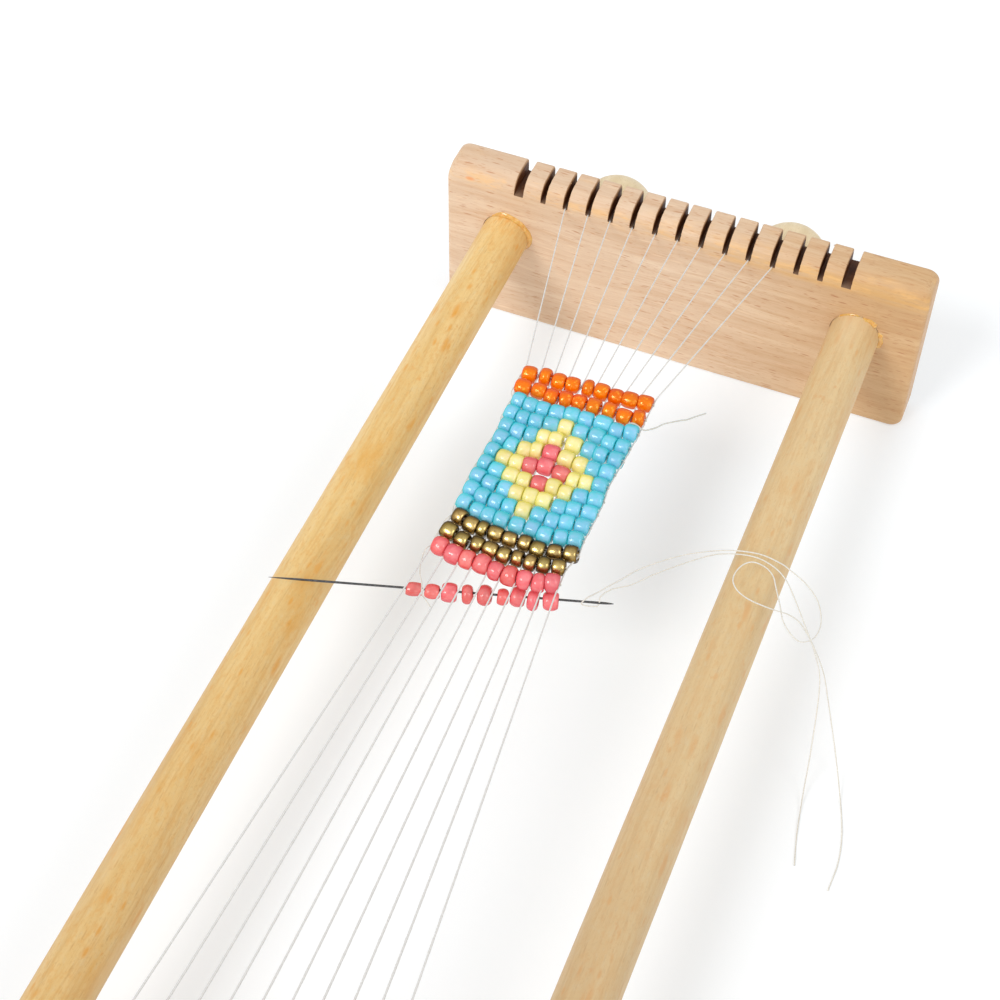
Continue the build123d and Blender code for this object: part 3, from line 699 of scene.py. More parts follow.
def end_board(name, y_in, outward, seed):
    R = random.Random(seed)
    ds = {0.0, BOARD_T}
    for k in range(1, 13):
        ds.add(TOP_IN_R * (1 - math.cos(math.radians(90 * k / 12))))
    for r in (SIDE_R,):
        for k in range(1, 6):
            d = r * (1 - math.cos(math.radians(90 * k / 5)))
            ds.update((d, BOARD_T - d))
    for k in range(1, 7):
        ds.add(BOARD_T - TOP_OUT_R * (1 - math.cos(math.radians(90 * k / 6))))
    ds.update((5.2, 6.2, 7.2))
    ds = sorted(ds)
    layers = [ds[0]]
    for d in ds[1:]:
        if d - layers[-1] > 0.02 or d == BOARD_T:
            layers.append(d)
    drift = [[R.uniform(-0.03, 0.03), R.uniform(-0.03, 0.03)] for _ in SLOT_X]
    V, F = [], []
    for d in layers:
        near = min(d, BOARD_T - d)
        drop = max(ease(d, TOP_IN_R), ease(BOARD_T - d, TOP_OUT_R))
        jig = [(a + R.uniform(-0.035, 0.035), b + R.uniform(-0.035, 0.035)) for a, b in drift]
        ring = board_outline(ease(near, SIDE_R), ease(near, BOTTOM_R), BOARD_H - drop, jig)
        n = len(ring)
        V += [(x, y_in + outward * d, z) for x, z in ring]
    m = len(layers)
    for k in range(m - 1):
        for i in range(n):
            j = (i + 1) % n
            F.append((k * n + i, k * n + j, (k + 1) * n + j, (k + 1) * n + i))
    F.append(tuple(range(n)))
    F.append(tuple(range((m - 1) * n, m * n)))
    # slivers left standing at the mouths of the saw cuts
    splinters = Build()
    for _ in range(16):
        i = R.randrange(len(SLOT_X))
        w = (SLOT_W_END if i in (0, len(SLOT_X) - 1) else SLOT_W) / 2
        side = R.choice((-1, 1))
        d = R.uniform(3.2, 9.6)
        drop = max(ease(d, TOP_IN_R), ease(BOARD_T - d, TOP_OUT_R))
        base = np.array([SLOT_X[i] + side * (w + 0.05), y_in + outward * d, BOARD_H - drop - R.uniform(0.25, 1.6)])
        tip = base + np.array([-side * R.uniform(0.25, 0.5), R.uniform(-0.5, 0.5), R.uniform(0.0, 0.35)])
        wd = R.uniform(0.10, 0.2)
        a = base + np.array([0, -wd, -wd * 0.6]); b = base + np.array([0, wd, -wd * 0.6]); c = base + np.array([0, 0, wd])
        inner = base + np.array([side * 0.25, 0, 0])
        splinters.add([a, b, c, tip, inner], [(0, 1, 3), (1, 2, 3), (2, 0, 3), (1, 0, 4), (2, 1, 4), (0, 2, 4)])
    ob = mesh_object(name, V, F)
    ob.data.polygons[len(F) - 2].use_smooth = False
    ob.data.polygons[len(F) - 1].use_smooth = False
    outward_normals(ob)
    cutters = []
    for sx in (-1, 1):
        for cx, cz, r, depth, face, into in ((RAIL_X, RAIL_Z, 6.1, 7.0, y_in, outward),
                                             (KNOB_X, KNOB_Z, 2.03, 8.0, y_in + outward * BOARD_T, -outward)):
            prof = [(0, -2.0), (r, -2.0), (r, depth), (0, depth)]
            cv, cf = lathe(prof, 64, np.array([sx * cx, face, cz]), (0, into, 0))
            c = mesh_object("cutter", cv, cf)
            outward_normals(c)
            cutters.append(c)
    for c in cutters:
        mod = ob.modifiers.new("bore", "BOOLEAN")
        mod.operation, mod.object, mod.solver = "DIFFERENCE", c, "EXACT"
    apply_modifiers(ob)
    for c in cutters:
        bpy.data.objects.remove(c)
    sp = splinters.object(name + "_splinters")
    outward_normals(sp)
    bm = bmesh.new()
    bm.from_mesh(ob.data)
    bm.from_mesh(sp.data)
    bmesh.ops.remove_doubles(bm, verts=bm.verts, dist=1e-7)
    bm.to_mesh(ob.data)
    bm.free()
    bpy.data.objects.remove(sp)
    mark_sharp(ob)
    cut = []
    for p in ob.data.polygons:
        c, nn = p.center, p.normal
        x, z = c.x / MM, c.z / MM
        inside = False
        if abs(nn.y) < 0.8 and z > SLOT_FLOOR - 0.1 and abs(x) < 43:
            for i, sx in enumerate(SLOT_X):
                w = (SLOT_W_END if i in (0, len(SLOT_X) - 1) else SLOT_W) / 2 + 0.09
                d = abs(c.y / MM - y_in)
                drop = max(ease(d, TOP_IN_R), ease(BOARD_T - d, TOP_OUT_R))
                if abs(x - sx) < w and z < BOARD_H - drop - 0.12:
                    inside = True
        cut.append(1.0 if inside else 0.0)
    a = ob.data.attributes.new("cut", "FLOAT", "FACE")
    a.data.foreach_set("value", cut)
    co = np.array([v.co for v in ob.data.vertices], float) / MM
    din = np.abs(co[:, 1] - y_in)
    line = np.array([BOARD_H - max(ease(d, TOP_IN_R), ease(BOARD_T - d, TOP_OUT_R)) for d in np.clip(din, 0, BOARD_T)])
    point_attribute(ob, "inset", din)
    point_attribute(ob, "below", line - co[:, 2])
    dress(ob, M["board"])
    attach(ob, "loom")
    return ob


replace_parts(end_board("far_board_wood", FAR_IN, 1, 21), "far_end_board")
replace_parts(end_board("near_board_wood", NEAR_IN, -1, 22), "near_end_board")


# ============================================================ rails
def rail(name, cx, y0, y1, seed):
    """A dowel: not quite round, not quite straight, ends chamfered inside the sockets."""
    seg, n = 96, 150
    R = random.Random(seed)
    ph = [R.random() * 6.28 for _ in range(4)]
    V, F = [], []
    ys = [y0, y0 + 0.5] + list(np.linspace(y0 + 2.0, y1 - 2.0, n)) + [y1 - 0.5, y1]
    for k, y in enumerate(ys):
        end = k in (0, len(ys) - 1)
        bow = 0.05 * math.sin(math.pi * (y - y0) / (y1 - y0))
        for j in range(seg):
            a = 2 * math.pi * j / seg
            r = RAIL_R - (0.5 if end else 0)
            s = 0.018 * math.sin(2 * a + ph[0] + y * 0.006) + 0.010 * math.sin(5 * a + ph[1] + y * 0.03)
            s += 0.022 * noise.noise(Vector((math.cos(a) * 2.2, y * 0.06, math.sin(a) * 2.2 + seed)))
            r += s - 0.03
            V.append((cx + r * math.cos(a), y, RAIL_Z + bow * 0.4 + r * math.sin(a)))
    m = len(ys)
    for k in range(m - 1):
        for j in range(seg):
            j2 = (j + 1) % seg
            F.append((k * seg + j, k * seg + j2, (k + 1) * seg + j2, (k + 1) * seg + j))
    F.append(tuple(range(seg)))
    F.append(tuple(range((m - 1) * seg, m * seg)))
    ob = mesh_object(name, V, F)
    outward_normals(ob)
    mark_sharp(ob)
    dress(ob, M["rail"])
    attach(ob, "loom")
    return ob


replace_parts(rail("left_rail_wood", -RAIL_X, r_lo[1], r_hi[1], 5), "left_rail")
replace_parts(rail("right_rail_wood", RAIL_X, r_lo[1], r_hi[1], 9), "right_rail")


# ============================================================ glue
def glue_run(b, cx, y_face, into, a0, a1, w, h, seed, lumps=0.08):
    """A fillet of glue in the corner between rail and board: lumpy, running out to nothing at both ends."""
    R = random.Random(seed)
    ph = [R.random() * 6.28 for _ in range(5)]
    n = max(16, int(abs(a1 - a0) / 1.5))
    prof = 10
    V, F = [], []
    for i in range(n + 1):
        t = i / n
        a = math.radians(a0 + (a1 - a0) * t)
        env = min(1.0, math.sin(math.pi * t) * 1.7) ** 0.7 if 0 < t < 1 else 0.0
        lump = 1 + lumps * (math.sin(4 * a + ph[0]) + 0.7 * math.sin(9 * a + ph[1]) + 0.4 * math.sin(19 * a + ph[2]))
        swell = 1 + lumps * (math.sin(5 * a + ph[3]) + 0.6 * math.sin(11 * a + ph[4]))
        ww, hh = max(0.03, w * env * lump), max(0.03, h * env * swell)
        r0 = RAIL_R - 0.06
        for k in range(prof):
            u = k / (prof - 1)
            # from the foot on the board, over a slightly concave bulge, to the foot on the rail
            rr = r0 + ww * (math.cos(u * math.pi / 2) ** 1.35)
            yy = -0.05 + hh * (math.sin(u * math.pi / 2) ** 1.35)
            V.append((cx + rr * math.cos(a), y_face + into * yy, RAIL_Z + rr * math.sin(a)))
        V.append((cx + r0 * math.cos(a), y_face - into * 0.05, RAIL_Z + r0 * math.sin(a)))
    m = prof + 1
    for i in range(n):
        for k in range(m):
            k2 = (k + 1) % m
            F.append((i * m + k, i * m + k2, (i + 1) * m + k2, (i + 1) * m + k))
    F.append(tuple(range(m)))
    F.append(tuple(range(n * m, (n + 1) * m)))
    b.add(V, F)


gb = Build()
glue_run(gb, -RAIL_X, FAR_IN, -1, -34, 132, 1.05, 0.75, 1)
glue_run(gb, RAIL_X, FAR_IN, -1, 38, 78, 0.85, 0.8, 2, 0.26)
glue_run(gb, RAIL_X, FAR_IN, -1, -26, 26, 0.95, 0.7, 3, 0.16)
glue_run(gb, RAIL_X, FAR_IN, -1, 84, 140, 0.40, 0.40, 6)
glue_run(gb, -RAIL_X, NEAR_IN, 1, -142, -18, 1.0, 1.2, 4)
glue_run(gb, RAIL_X, NEAR_IN, 1, -152, -58, 1.1, 1.2, 5)
ob = gb.object("glue_runs")
outward_normals(ob)
dress(ob, M["glue"])
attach(ob, "loom")
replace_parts(ob, "glue_squeeze_out")


# ============================================================ knobs, windings, screws
def turned_knob(name, body, node, winding_node):
    lo, hi = mm_box(node)
    far = (lo[1] + hi[1]) / 2 > FAR_OUT
    out = 1 if far else -1
    y_face = FAR_OUT if far else NEAR_OUT
    centre = np.array([(lo[0] + hi[0]) / 2, y_face, (lo[2] + hi[2]) / 2])
    zc, R = 10.2, KNOB_R
    seed = int(abs(centre[0] * 3 + centre[1]))
    Rn = random.Random(seed)
    ph = [Rn.random() * 6.28 for _ in range(3)]
    prof = [(2.05, 0.2), (2.2, 0.15), (4.9, 0.15), (5.1, 0.22), (5.2, 0.4), (5.18, 1.2), (5.16, 2.0), (5.25, 2.35), (5.45, 2.56)]
    t0 = math.asin((2.75 - zc) / R)
    t1 = math.asin((18.42 - zc) / R)
    for k in range(34):
        t = t0 + (t1 - t0) * k / 33
        prof.append((R * math.cos(t), zc + R * math.sin(t)))
    rt = R * math.cos(t1)
    prof += [(rt - 0.22, 18.53), (rt - 0.5, 18.59), (rt - 1.0, 18.6), (2.5, 18.6), (2.2, 18.55), (2.05, 18.4),
             (2.05, 12.0), (2.05, 6.0)]

    def wob(a, h):
        return (0.0025 * math.sin(2 * a + ph[0]) + 0.0012 * math.sin(3 * a + ph[1] + h * 0.3)) if h > 2.8 and h < 18.3 else 0.0
    V, F = lathe(prof, 96, centre, (0, out, 0), closed=True, wobble=wob)
    ob = mesh_object(name, V, F)
    outward_normals(ob)
    mark_sharp(ob, 50)
    dress(ob, M["knob"])
    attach(ob, body)
    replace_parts(ob, node)
    # thread laid round the neck: a first layer of turns, then a few back over it
    pts = []
    turns, steps = 7.25, 40
    for k in range(int(turns * steps) + 1):
        a = 2 * math.pi * k / steps + ph[2]
        t = k / (turns * steps)
        layer = 0.0 if t < 0.62 else 0.27
        along = 0.42 + 1.5 * (t / 0.62) if t < 0.62 else 1.92 - 1.3 * (t - 0.62) / 0.38
        along += 0.05 * math.sin(a * 0.37 + ph[0])
        r = 5.2 + 0.18 + layer + 0.03 * math.sin(a * 0.61)
        pts.append(centre + np.array([r * math.cos(a), out * along, r * math.sin(a)]))
    P = resample(np.array(pts), 0.42)
    wv, wf, al = thread_shape(P, 0.15, 1.5, 0.2, 8, seed=seed)
    wb = Build()
    wb.add(wv, wf)
    w = wb.object(name + "_turns")
    outward_normals(w)
    dress(w, M["warp"])
    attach(w, body)
    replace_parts(w, winding_node)


for side in ("far_left", "far_right", "near_left", "near_right"):
    turned_knob(side + "_turned_knob", side + "_knob", side + "_knob", side + "_winding")

dress(frame["nodes"]["knob_screws"], M["screw"])


# ============================================================ beads
def bead_shape(centre, axis, length, radius, R, hole=0.62, square=2.9, tilt=4.0, wedge=0.10, seg=28, pn=18):
    """A cut-and-tumbled glass bead: a rounded ring of superelliptic section, never quite regular."""
    axis = np.array(axis, float) / np.linalg.norm(axis)
    up = np.array([0, 0, 1.0])
    u = np.cross(up, axis)
    u /= np.linalg.norm(u)
    w = np.cross(axis, u)
    rot = Matrix.Rotation(math.radians(R.gauss(0, tilt * 0.6)), 3, Vector(w)) @ Matrix.Rotation(
        math.radians(R.gauss(0, tilt * 0.5)), 3, Vector(u))
    rot = np.array(rot)
    rc, hr, hl = (radius + hole) / 2, (radius - hole) / 2, length / 2
    ph = [R.random() * 6.28 for _ in range(5)]
    wd = R.uniform(0, wedge)
    oval = R.uniform(0, 0.022)
    p_out = square * R.uniform(0.9, 1.12)
    belly = R.uniform(0.00, 0.05)
    V, F = [], []
    for k in range(seg):
        a = 2 * math.pi * k / seg
        half = hl * (1 + wd * math.cos(a + ph[0]))
        rim = 1 + oval * math.cos(2 * a + ph[1]) + 0.010 * math.sin(3 * a + ph[2])
        er = u * math.cos(a) + w * math.sin(a)
        for j in range(pn):
            t = 2 * math.pi * j / pn
            c, s = math.cos(t), math.sin(t)
            q = p_out if s > 0 else 2.2
            x = half * math.copysign(abs(c) ** (2 / q), c)
            rr = rc + hr * math.copysign(abs(s) ** (2 / q), s)
            if s > 0:
                rr = rr * rim * (1 + belly * (1 - (x / half) ** 2) - belly)
            rr += 0.018 * math.sin(4 * a + 3 * x + ph[3]) * (1 if s > 0 else 0)
            V.append(er * rr + axis * x)
    V = np.array(V) @ rot.T + centre
    for k in range(seg):
        k2 = (k + 1) % seg
        for j in range(pn):
            j2 = (j + 1) % pn
            F.append((k * pn + j, k2 * pn + j, k2 * pn + j2, k * pn + j2))
    return V, F


def pitch_at(row):
    return PITCH_FAR + (PITCH_NEAR - PITCH_FAR) * row / (ROWS - 1)


def sag(col, row):
    """How far a bead stands along Y from its even place: hand tension pulls the rows into shallow curves."""
    u, v = (col - 4) / 4.0, row / (ROWS - 1.0)
    d = 0.55 * u * (1 - v) ** 2
    d -= 0.62 * math.sin(math.pi * min(1.0, v * 1.05)) ** 0.8 * (1 - abs(u) ** 2.2)
    d += (0.15 + 0.95 * min(1.0, max(0.0, (v - 0.25) / 0.4))) * math.exp(-((u + 1) / 0.16) ** 2)
    d += (0.25 + 0.5 * max(0.0, v - 0.7) / 0.3) * math.exp(-((u - 1) / 0.2) ** 2)
    return d


# style of each row group: mean length as a share of the pitch, spread, radius, spread, jitter in x, jitter in y, squareness
STYLE = {
    "O": (0.90, 0.09, 2.02, 0.05, 0.14, 0.20, 2.35),
    "B": (0.965, 0.04, 1.98, 0.03, 0.06, 0.12, 2.8),
    "Y": (0.965, 0.035, 1.99, 0.03, 0.06, 0.12, 2.7),
    "P": (0.96, 0.045, 2.00, 0.03, 0.07, 0.12, 2.5),
    "G": (0.86, 0.11, 1.92, 0.06, 0.15, 0.28, 2.45),
    "E": (0.92, 0.07, 2.16, 0.05, 0.10, 0.14, 2.2),
}
# the beads are laid one by one, because hand work left the rows visibly uneven: x, y, length
LAID = {
    0: [(-17.3, -58.7, 3.1), (-13.8, -58.0, 2.6), (-10.5, -58.3, 3.3), (-7.4, -58.0, 3.4), (-3.8, -57.6, 2.4), (-0.7, -57.6, 3.2), (2.7, -57.7, 3.3), (5.9, -57.4, 3.6), (9.3, -57.1, 3.3)],
    1: [(-17.2, -62.9, 3.4), (-13.5, -62.5, 3.2), (-10.4, -63.3, 3.0), (-7.3, -62.7, 2.8), (-4.2, -62.4, 3.1), (-0.8, -62.4, 3.1), (2.8, -62.2, 2.8), (6.3, -62.5, 3.3), (9.4, -61.9, 2.9)],
    2: [(-16.6, -67.1, 2.8), (-13.7, -67.4, 3.1), (-10.8, -67.5, 2.8), (-7.6, -67.4, 3.3), (-4.3, -66.8, 3.3), (-1.0, -66.8, 3.2), (2.9, -66.3, 4.1), (6.2, -67.3, 3.2), (9.3, -66.5, 3.1)],
    3: [(-16.8, -70.8, 2.9), (-13.9, -71.5, 2.9), (-10.9, -71.3, 3.2), (-7.5, -71.4, 3.2), (-4.3, -70.5, 3.1), (-0.8, -70.5, 3.4), (2.8, -70.1, 3.5), (5.9, -71.2, 3.1), (9.0, -71.0, 3.1)],
    4: [(-16.4, -74.7, 2.9), (-13.5, -75.5, 3.1), (-10.5, -75.1, 3.0), (-7.7, -74.9, 3.0), (-5.0, -73.9, 3.3), (-0.9, -74.4, 3.7), (2.6, -74.7, 3.2), (5.4, -74.8, 3.4), (8.8, -74.9, 3.2)],
    5: [(-16.2, -78.6, 3.2), (-13.3, -79.8, 3.2), (-10.3, -79.6, 3.3), (-7.8, -78.9, 2.8), (-4.6, -78.5, 3.6), (-1.0, -78.8, 3.4), (2.4, -79.3, 3.2), (5.3, -79.4, 3.2), (8.4, -79.2, 3.3)],
    6: [(-16.5, -82.6, 3.1), (-13.4, -83.9, 3.3), (-10.5, -84.0, 3.2), (-7.6, -83.4, 3.3), (-4.4, -82.5, 3.5), (-0.6, -83.1, 3.5), (2.5, -84.1, 2.9), (5.2, -83.6, 3.2), (8.2, -83.2, 3.4)],
    7: [(-16.7, -86.3, 2.7), (-13.6, -87.8, 3.4), (-10.3, -88.4, 3.3), (-7.2, -87.9, 3.0), (-3.9, -87.6, 3.4), (-0.8, -87.2, 3.3), (2.2, -87.8, 2.9), (5.4, -87.7, 3.3), (8.7, -87.2, 3.3)],
    8: [(-16.7, -90.4, 3.2), (-13.5, -91.6, 3.3), (-10.1, -92.1, 3.3), (-7.4, -92.0, 3.2), (-4.3, -91.9, 3.2), (-1.2, -91.7, 3.3), (2.4, -92.5, 3.2), (5.3, -91.5, 3.3), (8.7, -90.6, 3.3)],
    9: [(-16.6, -94.3, 3.2), (-13.7, -94.8, 3.3), (-10.5, -95.5, 3.1), (-7.5, -95.6, 3.0), (-4.4, -95.0, 3.2), (-0.9, -95.6, 3.2), (2.3, -96.0, 3.0), (5.3, -95.0, 3.1), (8.6, -94.7, 3.2)],
    10: [(-16.5, -98.0, 3.1), (-13.3, -99.0, 3.0), (-10.6, -99.1, 3.1), (-7.6, -99.6, 3.0), (-4.1, -99.7, 3.1), (-0.8, -99.3, 3.0), (2.3, -99.8, 3.1), (5.5, -99.4, 3.0), (8.5, -98.8, 3.3)],
    11: [(-16.0, -102.1, 3.0), (-12.9, -103.0, 3.0), (-10.3, -103.1, 2.2), (-7.4, -103.5, 3.5), (-4.1, -103.8, 3.1), (-0.8, -103.5, 3.0), (2.2, -103.8, 3.3), (5.7, -103.3, 3.2), (8.9, -102.5, 3.2)],
    12: [(-16.6, -106.4, 3.4), (-13.2, -107.6, 3.2), (-9.9, -107.6, 2.6), (-6.8, -107.7, 3.2), (-3.7, -108.1, 2.9), (-0.8, -107.8, 2.6), (2.0, -107.9, 2.6), (4.8, -107.4, 2.7), (7.8, -106.6, 2.9)],
    13: [(-16.8, -110.8, 3.2), (-13.4, -111.7, 3.4), (-10.3, -111.9, 3.1), (-7.0, -111.8, 3.6), (-3.8, -112.5, 3.1), (-0.7, -112.5, 3.3), (2.5, -112.4, 2.9), (5.4, -111.9, 2.7), (8.0, -110.9, 3.1)],
}
centres = np.zeros((ROWS, COLS, 3))
sizes = {}
Rb = random.Random(77)
for row, letters in enumerate(PATTERN):
    # lengths are drawn first, then set side by side so that the row fills its width
    L = []
    for col, c in enumerate(letters):
        share, spread = STYLE[c][0], STYLE[c][1]
        L.append(max(0.62, Rb.gauss(share, spread)))
    gaps = [1.0 - STYLE[c][0] for c in letters]
    total = sum(L) + sum(gaps)
    k = COLS / total
    x = BAND_X - COLS / 2 * pitch_at(row)
    for col, c in enumerate(letters):
        share, spread, rad, rspread, jx, jy, sq = STYLE[c]
        cell = (L[col] + gaps[col]) * k * pitch_at(row)
        centres[row, col] = (
            x + cell / 2 + Rb.uniform(-jx, jx) * 0.5,
            ROW_Y0 - ROW_PITCH * row + sag(col, row) + Rb.uniform(-jy, jy),
            WARP_Z + Rb.uniform(-0.10, 0.10),
        )
        sizes[row, col] = (min(L[col] * k, L[col]) * pitch_at(row), rad * (1 + Rb.uniform(-rspread, rspread)), sq)
        x += cell
for row in range(ROWS):
    for col, c in enumerate(PATTERN[row]):
        rad, rspread, sq = STYLE[c][2], STYLE[c][3], STYLE[c][6]
        x, y, length = LAID[row][col]
        centres[row, col, 0], centres[row, col, 1] = x, y
        sizes[row, col] = (length, sizes[row, col][1], sq)
# neighbours along a row keep room for the warp between them, neighbours in a column keep clear of each other
for row in range(ROWS):
    for col in range(COLS - 1):
        room = centres[row, col + 1, 0] - centres[row, col, 0] - (sizes[row, col][0] + sizes[row, col + 1][0]) / 2 - 0.06
        if room < 0:
            for k in (col, col + 1):
                sizes[row, k] = (sizes[row, k][0] + room / 2, sizes[row, k][1], sizes[row, k][2])
for _ in range(40):
    for col in range(COLS):
        for row in range(ROWS - 1):
            for other, share in ((col, 0.985), (col - 1, 0.95), (col + 1, 0.95)):
                if not 0 <= other < COLS:
                    continue
                lap = (sizes[row, col][0] + sizes[row + 1, other][0]) / 2 - abs(centres[row, col, 0] - centres[row + 1, other, 0])
                if other != col and lap < 0.6:
                    continue
                want = (sizes[row, col][1] + sizes[row + 1, other][1]) * share
                short = want - (centres[row, col, 1] - centres[row + 1, other, 1])
                if short > 0:
                    centres[row, col, 1] += short / 2
                    centres[row + 1, other, 1] -= short / 2

groups = {k: Build() for k in "OBYPGE"}
for row, letters in enumerate(PATTERN):
    for col, c in enumerate(letters):
        length, radius, sq = sizes[row, col]
        cx = centres[row, col]
        nxt = centres[row, min(col + 1, COLS - 1)] - centres[row, max(col - 1, 0)]
        nxt[2] = 0
        ax = nxt / np.linalg.norm(nxt) * 0.6 + np.array([0.4, 0, 0])
        V, F = bead_shape(cx, ax, length, radius, Rb, square=sq,
                          tilt=5.5 if c in "OG" else 3.0, wedge=0.14 if c in "OGE" else 0.07)
        groups[c].add(V, F, rnd=Rb.random())
for key, name, node, slot in (
    ("O", "orange_glass_beads", "orange_beads", "orange_glass"),
    ("B", "blue_glass_beads", "blue_beads", "blue_glass"),
    ("Y", "cream_glass_beads", "cream_beads", "cream_glass"),
    ("P", "pink_centre_glass_beads", "pink_centre_beads", "pink_glass"),
    ("G", "bronze_glass_beads", "bronze_beads", "bronze_glass"),
    ("E", "pink_edge_glass_beads", "pink_edge_beads", "pink_glass"),
):
    ob = groups[key].object(name)
    outward_normals(ob)
    dress(ob, M[key])
    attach(ob, "loom")
    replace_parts(ob, node)


# ============================================================ warps
def warp_xy(j, row):
    """Where warp j passes a row: between two beads, or just outside the row."""
    if j == 0:
        c = centres[row, 0]
        return c[0] - sizes[row, 0][0] / 2 - 0.14
    if j == COLS:
        c = centres[row, COLS - 1]
        return c[0] + sizes[row, COLS - 1][0] / 2 + 0.14
    a, b = centres[row, j - 1], centres[row, j]
    return (a[0] + sizes[row, j - 1][0] / 2 + b[0] - sizes[row, j][0] / 2) / 2


WARP_SLOTS = range(2, 12)
HUG = 0.30
for j, si in enumerate(WARP_SLOTS):
    node = "warp_thread_%02d" % (j + 1)
    xs = SLOT_X[si]
    kx = -KNOB_X if j < 5 else KNOB_X
    ang = math.radians(150 - 30 * (j % 5))
    ex, ez = kx + 6.1 * math.cos(ang), KNOB_Z + 6.1 * math.sin(ang)
    off = Rb.uniform(-0.25, 0.25)
    band = []
    for row in range(ROWS - 1, -1, -1):
        ya = centres[row, max(0, j - 1)][1]
        yb = centres[row, min(COLS - 1, j)][1]
        band.append((warp_xy(j, row), (ya + yb) / 2, WARP_Z))
    first, last = band[0], band[-1]
    P = round_path(
        [(ex, NEAR_OUT - HUG, ez), (xs + off, NEAR_OUT - HUG, WARP_Z - 0.35), (xs + off, NEAR_OUT + 0.5, WARP_Z - 0.15),
         (xs + off, NEAR_IN - 0.3, WARP_Z - 0.15)]
        + [(first[0], first[1] - 2.2, WARP_Z)] + band + [(last[0], last[1] + 2.2, WARP_Z)]
        + [(xs + off * 0.6, FAR_IN + 0.3, WARP_Z - 0.15), (xs + off * 0.6, FAR_OUT - 0.5, WARP_Z - 0.15),
           (xs + off * 0.6, FAR_OUT + HUG, WARP_Z - 0.35), (ex, FAR_OUT + HUG, ez)],
        1.2, 0.27)
    # the yarn is drawn thinner where it fans out to the far board
    V, F, al = thread_shape(P, np.interp(P[:, 1], [-165.0, -118.0, -60.0, -15.0], [0.215, 0.172, 0.158, 0.15]), 1.35, 0.10, 8, seed=100 + j)
    # painted shade: marks the stretches lying down in the saw cuts for the darker warp colour
    inside = [1.0 if (FAR_IN + 0.2 < y < FAR_OUT - 0.1 or NEAR_OUT + 0.1 < y < NEAR_IN - 0.2) and z > 40 else 0.0
              for y, z in V[:, 1:]]
    b = Build()
    b.add(V, F, shade=inside)
    ob = b.object("warp_%02d" % (j + 1))
    outward_normals(ob)
    dress(ob, M["warp"])
    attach(ob, "loom")
    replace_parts(ob, node)

# ============================================================ weft
# Twice through every row: under the warps and back over them, one long thread that
# steps down to the next row round the left outer warp.
wb = Build()
path = []
for row in range(ROWS):
    cs = centres[row]
    lo_side, hi_side = -0.33, 0.33
    right = [cs[-1][0] + sizes[row, COLS - 1][0] / 2, cs[-1][1]]
    left = [cs[0][0] - sizes[row, 0][0] / 2, cs[0][1]]
    out = [(left[0] - 0.15, left[1], WARP_Z + lo_side)]
    for col in range(COLS):
        out.append((cs[col][0], cs[col][1], cs[col][2] + lo_side * 0.8))
        if col < COLS - 1:
            out.append(((cs[col][0] + cs[col + 1][0]) / 2, (cs[col][1] + cs[col + 1][1]) / 2, WARP_Z + lo_side - 0.05))
    out.append((right[0] + 0.15, right[1], WARP_Z + lo_side))
    out.append((right[0] + 0.46, right[1] + 0.12, WARP_Z))
    out.append((right[0] + 0.15, right[1] + 0.2, WARP_Z + hi_side))
    for col in range(COLS - 1, -1, -1):
        out.append((cs[col][0], cs[col][1] + 0.05, cs[col][2] + hi_side * 0.8))
        if col > 0:
            out.append(((cs[col][0] + cs[col - 1][0]) / 2, (cs[col][1] + cs[col - 1][1]) / 2, WARP_Z + hi_side + 0.05))
    out.append((left[0] - 0.15, left[1], WARP_Z + hi_side))
    if row < ROWS - 1:
        nl = centres[row + 1, 0]
        nx = nl[0] - sizes[row + 1, 0][0] / 2
        out.append((min(left[0], nx) - 0.42, (left[1] + nl[1]) / 2, WARP_Z))
    path += out
P = round_path(path, 0.7, 0.25)
V, F, al = thread_shape(P, 0.13, 1.3, 0.10, 8, seed=7)
wb.add(V, F)
ob = wb.object("weft_run")
outward_normals(ob)
dress(ob, M["weft"])
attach(ob, "loom")
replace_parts(ob, "weft_thread")

tail = [
    (7.9, -64.9, 41.5), (8.3, -65.15, 42.2), (9.0, -65.1, 42.62), (10.1, -65.2, 42.55), (11.2, -65.4, 42.0), (12.05, -65.1, 41.6),
    (13.06, -64.36, 41.65), (13.98, -63.66, 41.8), (15.3, -62.24, 42.1), (16.97, -61.11, 42.3),
    (18.31, -59.99, 42.2), (19.5, -59.05, 42.0), (20.98, -57.23, 41.8),
    (22.67, -55.35, 41.6)]
P = smooth_path(tail, 0.22)
V, F, al = thread_shape(P, 0.165, 1.3, 0.10, 8, seed=8)
b = Build()
b.add(V, F)
ob = b.object("weft_tail")
outward_normals(ob)
dress(ob, M["tail"])
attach(ob, "loom")
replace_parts(ob, "weft_start_tail")

loop = [
    (-18.3, -111.0, 40.85), (-19.25, -112.2, 40.75), (-19.45, -113.72, 40.3), (-18.9, -116.47, 39.9),
    (-18.1, -118.45, 39.7), (-17.1, -119.99, 39.6), (-15.79, -122.76, 39.6),
    (-14.5, -123.9, 39.65), (-12.9, -125.2, 39.8)]
P = smooth_path(loop, 0.22)
V, F, al = thread_shape(P, 0.135, 1.3, 0.10, 8, seed=9)
b = Build()
b.add(V, F)
ob = b.object("weft_slack")
outward_normals(ob)
dress(ob, M["weft"])
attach(ob, "loom")
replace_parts(ob, "weft_edge_loop")

